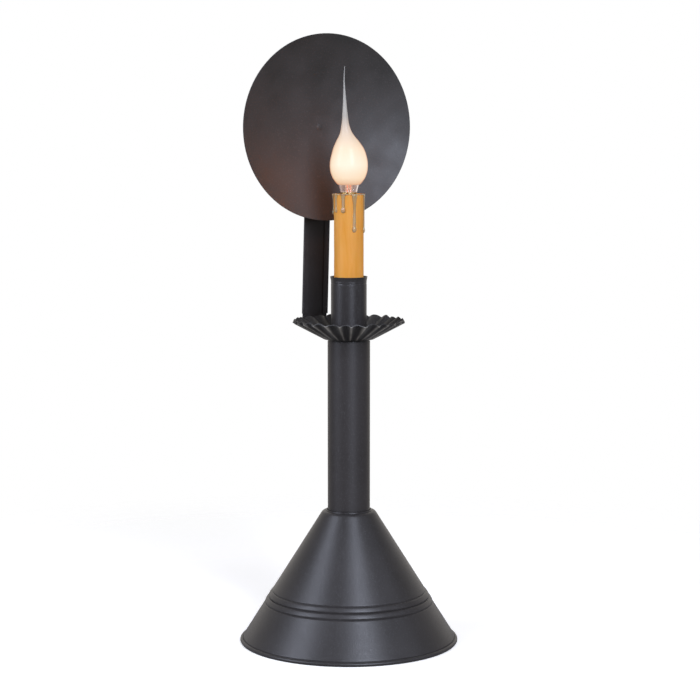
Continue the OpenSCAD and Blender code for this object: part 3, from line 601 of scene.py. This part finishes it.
def makeCone(settings):
    low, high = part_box("base_cone")
    outer = (high.x - low.x) / 2
    roll = settings["rimRadius"]
    rim = Vector((outer - roll, 0, roll))
    top = Vector((settings["top"], 0, high.z))
    foot = Vector((outer - settings["wallFoot"], 0, roll))
    length = (foot - top).length
    down = (foot - top) / length
    out = Vector((-down.z, 0, down.x))
    width = settings["beadWidth"]
    creases = [settings["beadAt"] + width * k for k in range(settings["beads"] + 1)]
    creases.append(length - settings["rimCrease"])

    def wallPoint(s, inset):
        rise = 0.0
        across = (s - creases[0]) / width
        if 0 < across < settings["beads"]:
            rise = settings["beadRise"] * (1 - abs(2 * (across % 1) - 1) ** 3)
        for crease in creases:
            rise -= settings["creaseDepth"] * math.exp(-((s - crease) / settings["creaseWidth"]) ** 2)
        return top + down * s + out * (rise - inset)

    corner, pace, reach = (settings[key] for key in ("shoulder", "wallStep", "creaseReach"))
    steps = [corner + pace * i for i in range(int(length / pace) + 1)]
    steps = [s for s in steps if s < length and all(abs(s - c) > reach for c in creases)]
    fine = settings["creaseSteps"]
    for crease in creases:
        steps += [crease + settings["creaseStep"] * i for i in range(-fine, fine + 1)]
    steps = sorted({round(s, 5) for s in steps if s < length - settings["wallEnd"]})
    outside = [Vector((settings["hole"], 0, high.z)), Vector((top.x - corner, 0, high.z))]
    start, end = top - Vector((corner, 0, 0)), top + down * corner
    for i in range(1, settings["bendSteps"]):
        t = i / settings["bendSteps"]
        outside.append((1 - t) ** 2 * start + 2 * t * (1 - t) * top + t * t * end)
    outside += [wallPoint(s, 0) for s in steps]
    first, step = settings["rollFrom"], settings["rollStep"]
    turns = [math.radians(first - step * i) for i in range(settings["rollCount"])]
    rolled = [rim + roll * Vector((math.cos(a), 0, math.sin(a))) for a in turns]
    for p in rolled:
        p.z = max(p.z, 0.0)
    insideEnd = length - settings["insideEnd"]
    inside = [wallPoint(s, settings["sheet"]) for s in steps[::-1] if s < insideEnd]
    ceiling = high.z - settings["sheet"]
    inside += [Vector((top.x - corner, 0, ceiling)), Vector((settings["hole"], 0, ceiling))]
    profile = outside + rolled + inside
    seam = math.radians(settings["seamBearing"])  # lapped, on the rim
    rings = []
    for p in profile[::-1]:
        ring = ringAt(p.x, p.z, settings["sides"])
        if p.x > outer - settings["seamReach"] and p.z > settings["seamLow"]:
            for q in ring:
                away = (math.atan2(q.y, q.x) - seam + math.pi) % (2 * math.pi) - math.pi
                bump = settings["seamRise"] * math.exp(-(away / settings["seamWidth"]) ** 2)
                q.xy *= 1 + bump / p.x
        rings.append(ring)
    cone = loft("beadedCone", rings, looped=True)
    mesh = cone.data
    # hole for the bushing, low at the back
    slit = bmesh.new()
    slit.from_mesh(mesh)
    eye = Vector((0, top.x - down.x / down.z * (high.z - settings["cordHeight"]), settings["cordHeight"]))
    axis = Vector((0, out.x, out.z))
    lost = []
    for face in slit.faces:
        gap = face.calc_center_median() - eye
        aside = (gap - axis * gap.dot(axis)).length
        if gap.length < settings["cordReach"] and aside < settings["cordClear"]:
            lost.append(face)
    bmesh.ops.delete(slit, geom=lost, context="FACES")
    bmesh.ops.bridge_loops(slit, edges=[edge for edge in slit.edges if edge.is_boundary])
    slit.to_mesh(mesh)
    slit.free()
    sharpenEdges(cone)
    standsFor(cone, "base_cone", "stand")


makeCone(coneSet)
print("base cone beaded")


# foot ring: carries the column, with a groove and a rolled bead where it meets the cone
footSet = {
    "sides": 120, "hole": 0.0055, "beadAt": 0.0169, "bead": 0.0006, "beadRise": 0.00015, "beadTuck": 0.9,
    "beadFrom": -15, "beadSweep": 210, "steps": 10, "groove": 0.0159, "grooveFloor": 0.0001,
    "grooveTop": 0.0006,
}


def makeFootRing(settings):
    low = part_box("foot_ring")[0].z
    columnLow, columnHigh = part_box("column_tube")
    column = (columnHigh.x - columnLow.x) / 2
    hole, beadAt, bead = (settings[key] for key in ("hole", "beadAt", "bead"))
    profile = [(hole, low), (beadAt + bead * settings["beadTuck"], low)]
    for i in range(settings["steps"] + 1):
        t = math.radians(settings["beadFrom"] + settings["beadSweep"] * i / settings["steps"])
        profile.append((beadAt + bead * math.cos(t), low + settings["beadRise"] + bead * math.sin(t)))
    profile += [(settings["groove"], low + settings["grooveFloor"]), (column, low + settings["grooveTop"])]
    profile += [(column, columnLow.z), (hole, columnLow.z)]
    ring = turned("rolledFootRing", profile, settings["sides"])
    sharpenEdges(ring)
    standsFor(ring, "foot_ring", "stand", smoothBlack)


makeFootRing(footSet)
print("foot ring rolled")


# drip pan: creases are folded by hand, so no two pleats match
panSet = {
    "pleats": 28, "rows": 12, "floorRadius": 0.019, "floorStep": 0.001, "holeRadius": 0.0051,
    "sheet": 0.0007, "rise": 0.0123, "depth": 0.002, "growth": 1.3, "turn": 8.0, "foldRound": 0.05,
    "flatten": 1.8, "uneven": 0.28, "slip": 0.32, "seed": 5079, "sharpAngle": 60,
    "waver": 0.0004, "waverScale": 2, "waverSeed": 5.0,
    # paler band along the ridges: rubbed paint and a painted highlight
    "paleWidth": 0.24, "paleFade": 0.3, "paleMean": 0.75, "paleVary": 0.5, "paleScale": 150,
    "offRidge": [0.0, 0.04, 0.08, 0.13, 0.2, 0.3, 0.42, 0.56, 0.72, 0.88],  # shares of the way to a valley
}


def makePan(settings):
    low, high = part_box("drip_pan")
    rimRadius = (high.x - low.x) / 2
    floor, pleats, rows = (settings[key] for key in ("floorRadius", "pleats", "rows"))
    slope = math.atan2(settings["rise"], rimRadius - floor)
    draws = random.Random(settings["seed"])
    folds = [1 + settings["uneven"] * draws.uniform(-1, 1) for _ in range(pleats)]
    slips = [settings["slip"] * draws.uniform(-1, 1) for _ in range(pleats)]
    off = settings["offRidge"]
    parts = [0.0] + [0.5 - 0.5 * d for d in off[::-1]] + [0.5 + 0.5 * d for d in off[1:]]
    steps = len(parts)
    sides = pleats * steps
    soft, scale = settings["foldRound"], settings["waverScale"]

    def bearingAt(place):
        return math.radians(settings["turn"] + 360 * place / pleats)

    def skirtRing(share, lift):
        ring = []
        for i in range(sides):
            pleat, step = divmod(i, steps)
            part = parts[step]
            after = (pleat + 1) % pleats
            climb = (math.hypot(2 * part - 1, soft) - soft) / (math.hypot(1, soft) - soft)
            wave = 1 - (1 - climb) ** settings["flatten"]  # narrow ridges outside, wide flats inside
            fold = folds[pleat] * (1 - part) + folds[after] * part
            slip = slips[pleat] * (1 - part) + slips[after] * part
            a = bearingAt(pleat + part + slip * share)
            out = lift + share ** settings["growth"] * settings["depth"] * wave * fold
            r = floor + share * (rimRadius - floor) - out * math.sin(slope)
            sway = noise.noise((scale * math.cos(a), scale * math.sin(a), settings["waverSeed"]))
            waver = settings["waver"] * share * sway
            z = low.z + share * settings["rise"] + out * math.cos(slope) + waver
            ring.append(Vector((r * math.cos(a), r * math.sin(a), z)))
        return ring

    def floorRing(radius, z):
        turns = [bearingAt(i // steps + parts[i % steps]) for i in range(sides)]
        return [Vector((radius * math.cos(a), radius * math.sin(a), z)) for a in turns]

    shares = [i / rows for i in range(rows + 1)]
    under = [skirtRing(s, 0) for s in shares]
    over = [skirtRing(s, settings["sheet"]) for s in shares[::-1]]
    hole, inner = settings["holeRadius"], floor - settings["floorStep"]
    floorTop = low.z + settings["sheet"]
    floorUnder = [floorRing(hole, low.z), floorRing(inner, low.z)]
    floorOver = [floorRing(inner, floorTop), floorRing(hole, floorTop)]
    rings = floorUnder + under + over + floorOver
    pan = loft("foldedDripPan", rings, looped=True)
    # mask of the paler fold ridges: rubbed paint and a painted highlight
    wearAndHighlight = pan.data.attributes.new("foldWearAndHighlight", "FLOAT", "POINT")
    first = len(floorUnder)
    for j, ring in enumerate(rings):
        outside = j < first + len(under)  # only the outside of the skirt gets the paler folds, rubbed paint and painted highlight
        share = min(max((j - first) / rows, 0), 1) if outside else 0
        for i, point in enumerate(ring):
            d = (2 * parts[i % steps] - 1) / settings["paleWidth"]
            patch = settings["paleMean"] + settings["paleVary"] * noise.noise(point * settings["paleScale"])
            rub = share ** settings["paleFade"] * math.exp(-d * d) * patch
            wearAndHighlight.data[j * sides + i].value = min(1.0, rub)
    sharpenEdges(pan, settings["sharpAngle"])
    standsFor(pan, "drip_pan", "stand", metalFinish("foldedBlack", foldedBlackSet, "foldWearAndHighlight"))


makePan(panSet)
print("drip pan folded")


# reflector: spun dish, a little uneven and drawn in at its rivet
dishSet = {
    "rows": 36, "sides": 128, "sheet": 0.0007, "hole": 0.0017, "rimRound": 0.00025, "stiffRim": 0.004,
    "uneven": 0.0006, "unevenScale": 22.0, "unevenSeed": 3.0, "dimple": 0.00015, "dimpleRadius": 0.009,
    "ripple": 0.0002, "rippleAlong": 18.0, "rippleAcross": 70.0, "rippleSeed": 8.0,  # slanted rub marks
}


def makeDish(settings):
    low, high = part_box("reflector_dish")
    rimRadius = (high.x - low.x) / 2
    middle = Vector(((low.x + high.x) / 2, high.y, (low.z + high.z) / 2))
    sheet, scale = settings["sheet"], settings["unevenScale"]
    depth = high.y - low.y - sheet
    sphere = (rimRadius ** 2 + depth ** 2) / (2 * depth)

    def faceRing(radius, lift):
        ring = []
        for a in turnsOf(settings["sides"]):
            x, z = radius * math.cos(a), radius * math.sin(a)
            bowl = sphere - math.sqrt(sphere ** 2 - radius ** 2)
            wave = settings["uneven"] * noise.noise((scale * x, scale * z, settings["unevenSeed"]))
            along, across = settings["rippleAlong"] * (x + z), settings["rippleAcross"] * (z - x)
            wave += settings["ripple"] * noise.noise((along, across, settings["rippleSeed"]))
            near = math.exp(-(radius / settings["dimpleRadius"]) ** 2)
            wave = wave * (1 - near) - settings["dimple"] * near * (1 - near) * 4
            edge = min(1.0, (rimRadius - radius) / settings["stiffRim"])
            ring.append(middle + Vector((x, -(bowl + lift + wave * edge), z)))
        return ring

    start, rows, soft = (settings[key] for key in ("hole", "rows", "rimRound"))
    radii = [start + (rimRadius - start) * i / rows for i in range(rows + 1)]
    bend = rimRadius - soft
    back = [faceRing(r, 0.0) for r in radii[:-1]] + [faceRing(bend, 0.0), faceRing(rimRadius, soft)]
    front = [faceRing(rimRadius, sheet - soft), faceRing(bend, sheet)]
    front += [faceRing(r, sheet) for r in radii[-2::-1]]
    dish = loft("spunReflector", back + front, looped=True)
    sharpenEdges(dish)
    return standsFor(dish, "reflector_dish", "stand", spunBlack)


dish = makeDish(dishSet)
print("reflector spun")


# rivet: hammered nearly flat in front, full head behind
rivetSet = {
    "sides": 40, "steps": 8, "head": 0.0009, "shank": 0.0016, "dome": 0.0003, "skin": 0.00005,
    "pole": 0.0001,
}


def makeRivet(settings):
    low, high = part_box("reflector_rivet")
    middle = (low + high) / 2
    wide = (high.x - low.x) / 2
    head, shank, pole, steps = (settings[key] for key in ("head", "shank", "pole", "steps"))
    face = low.y + head
    front = face - settings["skin"]
    profile = []
    for i in range(steps):
        t = math.pi / 2 * (1 - i / steps)
        profile.append((max(wide * math.cos(t), pole), front - settings["dome"] * math.sin(t)))
    profile += [(wide, front), (shank, face), (shank, high.y - head)]
    for i in range(steps + 1):
        t = math.pi / 2 * i / steps
        profile.append((max(wide * math.cos(t), pole), high.y - head * (1 - math.sin(t))))
    rings = []
    for radius, y in profile:
        circle = ringAt(radius, 0, settings["sides"])
        rings.append([Vector((middle.x + p.x, y, middle.z + p.y)) for p in circle])
    rivet = loft("hammeredRivet", rings[::-1])
    sharpenEdges(rivet)
    return standsFor(rivet, "reflector_rivet", "stand", spunBlack)


rivet = makeRivet(rivetSet)
print("rivet hammered")


# candle sleeve: cast wax tube with a soft lip
sleeveSet = {
    "sides": 96, "rows": 60, "wall": 0.0008, "lip": 0.00035, "lipRound": 0.3,
    "uneven": 0.00012, "unevenScale": 160.0, "sink": 0.6,
}
sleeveLow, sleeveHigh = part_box("candle_sleeve")
sleeveRadius = (sleeveHigh.x - sleeveLow.x) / 2


def makeSleeve(settings):
    inner = sleeveRadius - settings["wall"]
    lip = settings["lip"]
    soft = lip * settings["lipRound"]

    def waxRing(radius, z):
        ring = ringAt(radius, z, settings["sides"])
        for p in ring:
            dent = noise.noise(p * settings["unevenScale"]) - settings["sink"]
            p.xy *= 1 + settings["uneven"] * dent / radius
        return ring

    bottom, top, rows = sleeveLow.z, sleeveHigh.z, settings["rows"]
    rings = [waxRing(sleeveRadius, bottom + (top - lip - bottom) * i / rows) for i in range(rows + 1)]
    rings += [waxRing(sleeveRadius - soft, top - soft), waxRing(sleeveRadius - lip, top)]
    rings += [waxRing(inner, top), waxRing(inner, bottom)]
    sleeve = loft("castWaxSleeve", rings, looped=True)
    sharpenEdges(sleeve)
    standsFor(sleeve, "candle_sleeve", "candle")


makeSleeve(sleeveSet)
print("candle sleeve cast")


# wax runs: bearing from +X in degrees, length and width in millimetres
runSet = {
    "runs": [(153, 15.6, 1.4), (186, 13.8, 1.3), (221, 14.0, 1.5), (265, 28.2, 1.5), (323, 29.0, 1.4),
             (8, 19.0, 1.3), (44, 33.0, 1.5), (80, 12.0, 1.4), (117, 24.0, 1.3)],
    "sides": 20, "rows": 48, "neck": 0.78, "neckVary": 0.12, "varyScale": 90, "varyShift": 3.7,
    "bead": 1.2, "beadLength": 1.3, "blend": 0.6, "topSpread": 1.5, "flarePower": 6, "tip": 0.00002,
    "wander": 0.0003, "wanderScale": 60, "wanderShift": 1.9, "wanderSeed": 4.0,
    "proud": 0.75, "sunk": 0.3, "inset": 0.1,  # shares of a run's radius
    "lipRadius": 0.0005, "lipTurns": 96, "lipSides": 10, "lipMean": 0.9, "lipVary": 0.6, "lipScale": 3,
    "lipInset": 0.0002, "lipDrop": 0.0003,
}


def makeRuns(settings):
    top = sleeveHigh.z
    rows, sides = settings["rows"], settings["sides"]
    turns = turnsOf(sides)
    growth = settings["topSpread"] - settings["neck"]
    pieces = []
    for k, (bearing, length, width) in enumerate(settings["runs"]):
        length, width = mm(length), mm(width)
        beadRadius = settings["bead"] * width
        beadHalf = settings["beadLength"] * beadRadius
        turn = math.radians(bearing)
        out = Vector((math.cos(turn), math.sin(turn), 0))
        side = Vector((-out.y, out.x, 0))
        rings = []
        for j in range(rows + 1):
            share = j / rows
            ease = 1 - math.cos(share * math.pi / 2)
            up = length * ease
            u = (up - beadHalf) / beadHalf
            bead = beadRadius * math.sqrt(max(0.0, 1 - u * u)) if up < 2 * beadHalf else 0.0
            vary = noise.noise((k * settings["varyShift"], settings["varyScale"] * up, 0.0))
            thin = width * (settings["neck"] + settings["neckVary"] * vary)
            flare = width * growth * (up / length) ** settings["flarePower"]
            merge = (up - beadHalf) / (settings["blend"] * beadHalf)
            body = (thin + flare) * min(1.0, max(0.0, merge))
            r = max(bead, body, settings["tip"])
            place = (k * settings["wanderShift"], settings["wanderScale"] * up, settings["wanderSeed"])
            drift = settings["wander"] * noise.noise(place) * (1 - share)
            centre = out * (sleeveRadius - settings["inset"] * r) + side * drift
            rise = Vector((0, 0, top - length + up))
            ring = []
            for a in turns:
                lift = -r * math.sin(a) * settings["proud" if a > math.pi else "sunk"]
                ring.append(centre + side * (r * math.cos(a)) + out * lift + rise)
            rings.append(ring)
        run = loft(f"waxRun{k}", rings)
        edge = run.data.attributes.new("waxEdge", "FLOAT", "POINT")
        for n, point in enumerate(edge.data):
            proud = -math.sin(turns[n % sides])
            point.value = (1 - max(proud, 0)) ** 2  # amber where a run meets the tube
        pieces.append(run)
    lip = []
    section = turnsOf(settings["lipSides"])
    for turn in turnsOf(settings["lipTurns"]):
        out = Vector((math.cos(turn), math.sin(turn), 0))
        vary = noise.noise(out * settings["lipScale"])
        r = settings["lipRadius"] * (settings["lipMean"] + settings["lipVary"] * vary)
        middle = out * (sleeveRadius - settings["lipInset"]) + Vector((0, 0, top - settings["lipDrop"]))
        lip.append([middle + out * (r * math.cos(a)) + Vector((0, 0, r * math.sin(a))) for a in section])
    pieces.append(loft("waxLip", lip, looped=True))
    standsFor(joinPieces(pieces, "waxRuns"), "wax_drips", "candle")


makeRuns(runSet)
print("wax runs set")


# bulb coat: height above the coat's lower edge and radius, in millimetres
coatSet = {
    "outline": [(0.0, 8.1), (1.1, 9.3), (3.6, 11.2), (6.0, 12.5), (10.2, 13.8), (14.9, 14.1), (19.7, 13.5),
                (26.7, 11.4), (32.6, 8.1), (35.8, 5.9), (39.6, 4.05), (45.5, 2.65), (52.5, 1.95),
                (60.1, 1.36), (71.5, 0.66), (80.5, 0.34), (87.0, 0.2)],
    "steps": 6, "sides": 64, "lean": 0.0027, "leanBearing": 153.0, "leanFrom": 22.0, "leanTo": 47.0,
    "drift": 0.0008, "hookFrom": 76.0, "hookLength": 11.0, "hook": 0.0005,
    "wall": 0.0013, "hollowTop": 34.0, "leastHollow": 0.001,
    "crown": [(0.0006, 0.0012), (0.003, 0.0008)],  # radius and rise of the hollow's rounded top
    "edgeInset": 0.0007, "edgeRise": 0.0002, "edgeBevel": 0.0003,
}


def coatCentre(up, settings):
    start, end, hook = (mm(settings[key]) for key in ("leanFrom", "leanTo", "hookFrom"))
    t = min(max((up - start) / (end - start), 0), 1)
    lean = settings["lean"] * t * t * (3 - 2 * t)
    lean += settings["drift"] * min(max((up - end) / (hook - end), 0), 1)
    tip = max(0.0, (up - hook) / mm(settings["hookLength"]))
    lean -= settings["hook"] * tip * tip
    bearing = math.radians(settings["leanBearing"])
    return lean * math.cos(bearing), lean * math.sin(bearing)


def makeCoat(settings):
    line = [(mm(h), mm(r)) for h, r in smoothLine(settings["outline"], settings["steps"])]
    sides, wall, low = settings["sides"], settings["wall"], coatLow.z
    roof = mm(settings["hollowTop"])
    rings = [ringAt(r, low + roof + rise, sides) for r, rise in settings["crown"]]
    hollow = [(h, r - wall) for h, r in line if 0 < h < roof and r - wall > settings["leastHollow"]]
    rings += [ringAt(r, low + h, sides) for h, r in hollow[::-1]]
    waist = mm(settings["outline"][0][1]) - settings["edgeInset"]
    rings.append(ringAt(waist, low + settings["edgeRise"], sides))
    rings.append(ringAt(waist + settings["edgeBevel"], low, sides))
    for h, r in line:
        rings.append(ringAt(r, low + h, sides, coatCentre(h, settings)))
    return standsFor(loft("dippedCoat", rings), "bulb_coat", "bulb")


coat = makeCoat(coatSet)
print("bulb coat dipped")


# glass under the coat, with its clear neck
glassSet = {
    "sides": 64, "wall": 0.0006, "shank": 0.00455, "steps": 5,
    "pole": 0.0004, "neckDrop": 0.0003, "crownFrom": 0.001,
    "outline": [(0.0, 5.6), (0.35, 6.2), (2.2, 6.6), (4.4, 7.2), (5.6, 7.6), (7.2, 8.9), (10.0, 10.6),
                (14.0, 12.0), (20.3, 12.6), (28.0, 11.6), (34.0, 8.8), (38.0, 5.4), (40.4, 0.4)],
}


def makeGlass(settings):
    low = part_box("bulb_glass")[0].z
    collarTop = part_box("bulb_screw_base")[1].z
    line = [(mm(r), collarTop + mm(h)) for h, r in smoothLine(settings["outline"], settings["steps"])]
    wall, shank, pole = (settings[key] for key in ("wall", "shank", "pole"))
    outer = [(pole, low), (shank, low), (shank, collarTop - settings["neckDrop"])] + line
    inner = [(max(r - wall, pole), z - (wall if r < settings["crownFrom"] else 0)) for r, z in line[::-1]]
    inner += [(shank - wall, collarTop), (shank - wall, low + wall), (pole, low + wall)]
    glass = turned("bulbGlass", outer + inner, settings["sides"])
    return standsFor(glass, "bulb_glass", "bulb")


glass = makeGlass(glassSet)
print("bulb glass blown")


# sealed-in ends of the two wires, seen through the neck and the stem
wireEndSet = {"radius": 0.0005, "sides": 12, "rows": 10, "below": 0.004, "bow": 0.0002}


def makeWireEnds(settings):
    low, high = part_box("bulb_lead_wires")
    reach = high.x - (high.y - low.y) / 2
    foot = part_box("bulb_screw_base")[1].z - settings["below"]
    ends = []
    for side in (-1, 1):
        rings = []
        for j in range(settings["rows"] + 1):
            t = j / settings["rows"]
            bow = settings["bow"] * math.sin(math.pi * t)
            centre = (side * (reach - bow), 0)
            rings.append(ringAt(settings["radius"], foot + (low.z - foot) * t, settings["sides"], centre))
        ends.append(loft(f"wireEnd{side}", rings))
    wires = joinPieces(ends, "sealedWireEnds")
    wires.data.materials.append(copperWire)
    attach(wires, "bulb")


makeWireEnds(wireEndSet)
print("wire ends sealed in")


# pale floor: white to the camera, dimmer to other rays, and light passes up through it into the cone
floorSet = {
    "radius": 0.62, "sides": 96, "fadeFrom": 0.22, "color": (0.95, 0.93, 0.89), "toneLift": 1.02,
    "lift": 0.37, "bounce": 0.4, "shaded": 0.079, "grain": 60.0, "drift": 4.0,
}


def makeFloor(settings):
    sides, radius, color = (settings[key] for key in ("sides", "radius", "color"))
    mesh = bpy.data.meshes.new("paleFloor")
    mesh.from_pydata(ringAt(radius, 0, sides), [], [list(range(sides))])
    floor = bpy.data.objects.new("paleFloor", mesh)
    scene.collection.objects.link(floor)
    material, tree, shader = newFinish("paleFloor", Roughness=0.9, Specular_IOR_Level=0.1)
    link = tree.links.new
    grain = grainOf(tree, settings)
    pale, dim = (tuple(c * settings[key] for c in color) for key in ("toneLift", "bounce"))
    shade = mixColors(tree, grain.outputs["Tone"], color, pale)
    reach = addNode(tree, "ShaderNodeVectorMath", operation="LENGTH")
    link(placeOn(tree), reach.inputs[0])
    beyond = addNode(tree, "ShaderNodeMath", {1: settings["shaded"]}, operation="GREATER_THAN")
    link(reach.outputs["Value"], beyond.inputs[0])
    away = beyond.outputs["Value"]
    cameraRay = addNode(tree, "ShaderNodeLightPath").outputs["Is Camera Ray"]
    white = combine(tree, "MULTIPLY", cameraRay, away)
    link(mixColors(tree, white, dim, shade), shader.inputs["Base Color"])
    glowWith(tree, shader, mixColors(tree, white, (0, 0, 0), (1, 1, 1)), settings["lift"])
    span = {"From Min": settings["fadeFrom"], "From Max": radius, "To Min": 1.0, "To Max": 0.0}
    fade = addNode(tree, "ShaderNodeMapRange", span)
    link(reach.outputs["Value"], fade.inputs["Value"])
    below = addNode(tree, "ShaderNodeNewGeometry").outputs["Backfacing"]
    # clear from below, to show the underside
    above = combine(tree, "SUBTRACT", fade.outputs["Result"], below, use_clamp=True)
    cover = combine(tree, "MAXIMUM", away, cameraRay)
    link(combine(tree, "MULTIPLY", above, cover), shader.inputs["Alpha"])
    floor.data.materials.append(material)


makeFloor(floorSet)


# tall soft boxes round the front, bearings in degrees right of the camera
lightSet = {
    "right": {"bearing": 20.5, "rise": 25.5, "distance": 2.0, "width": 0.6, "height": 1.6, "power": 42.0},
    "left": {"bearing": -65.0, "rise": 24.0, "distance": 2.0, "width": 0.8, "height": 1.7, "power": 28.0},
    "side": {"bearing": 76.0, "rise": 18.0, "distance": 2.0, "width": 0.6, "height": 1.6, "power": 3.3},
    "color": (0.86, 0.925, 1.11),
    "aim": 0.28,
    "glowPower": 0.068,
    "glowColor": (1.0, 0.28, 0.08),
    "glowRadius": 0.011,
    "glowHeight": 14.9,  # above the coat's lower edge, in millimetres
}


def addSoftBox(name, box, settings):
    data = bpy.data.lights.new(name, "AREA")
    data.shape = "RECTANGLE"
    data.size = box["width"]
    data.size_y = box["height"]
    data.energy = box["power"]
    data.color = settings["color"]
    light = bpy.data.objects.new(name, data)
    bearing = math.radians(cameraSet["turn"] + 180 - box["bearing"])
    rise = math.radians(box["rise"])
    target = Vector((0, 0, settings["aim"]))
    away = Vector((math.sin(bearing) * math.cos(rise), math.cos(bearing) * math.cos(rise), math.sin(rise)))
    light.location = target + away * box["distance"]
    light.rotation_euler = (-away).to_track_quat("-Z", "Y").to_euler()
    scene.collection.objects.link(light)


# the bulb's own light, on the reflector, its rivet and its strip only
def addGlow(settings):
    data = bpy.data.lights.new("bulbGlow", "POINT")
    data.energy = settings["glowPower"]
    data.color = settings["glowColor"]
    data.shadow_soft_size = settings["glowRadius"]
    light = bpy.data.objects.new("bulbGlow", data)
    light.location = (0, 0, coatLow.z + mm(settings["glowHeight"]))
    scene.collection.objects.link(light)
    warmed = bpy.data.collections.new("warmedByBulb")
    for piece in (dish, rivet, frame["nodes"]["reflector_strip"]):
        warmed.objects.link(piece)
    light.light_linking.receiver_collection = warmed
    letThrough = bpy.data.collections.new("lettingBulbThrough")
    for piece in (coat, glass):
        letThrough.objects.link(piece)
    for member in letThrough.collection_objects:
        member.light_linking.link_state = "EXCLUDE"
    light.light_linking.blocker_collection = letThrough


# white surroundings: bright behind the lamp, dim in front of it
worldSet = {
    "behind": 0.95, "front": 0.12, "spanFrom": 0.25, "spanTo": 0.98, "seen": 1.0, "tint": (1.0, 0.95, 0.9),
}


def makeWorld(settings):
    world = bpy.data.worlds.new("whiteStudio")
    world.use_nodes = True
    scene.world = world
    tree = world.node_tree
    tree.nodes.clear()
    turn = math.radians(cameraSet["turn"])
    place = addNode(tree, "ShaderNodeTexCoord")
    behind = {1: (math.sin(turn), math.cos(turn), 0)}
    facing = addNode(tree, "ShaderNodeVectorMath", behind, operation="DOT_PRODUCT")
    span = addNode(tree, "ShaderNodeMapRange", {
        "From Min": settings["spanFrom"], "From Max": settings["spanTo"],
        "To Min": settings["front"], "To Max": settings["behind"],
    })
    lit = addNode(tree, "ShaderNodeBackground", {"Color": (*settings["tint"], 1)})
    seen = addNode(tree, "ShaderNodeBackground", {"Color": (1, 1, 1, 1), "Strength": settings["seen"]})
    path = addNode(tree, "ShaderNodeLightPath")
    mix = addNode(tree, "ShaderNodeMixShader")
    end = addNode(tree, "ShaderNodeOutputWorld")
    link = tree.links.new
    link(place.outputs["Generated"], facing.inputs[0])
    link(facing.outputs["Value"], span.inputs["Value"])
    link(span.outputs["Result"], lit.inputs["Strength"])
    link(path.outputs["Is Camera Ray"], mix.inputs[0])
    link(lit.outputs["Background"], mix.inputs[1])
    link(seen.outputs["Background"], mix.inputs[2])
    link(mix.outputs["Shader"], end.inputs["Surface"])


for side in ("right", "left", "side"):
    addSoftBox("softBox" + side.title(), lightSet[side], lightSet)
addGlow(lightSet)
makeWorld(worldSet)
print("studio lit")
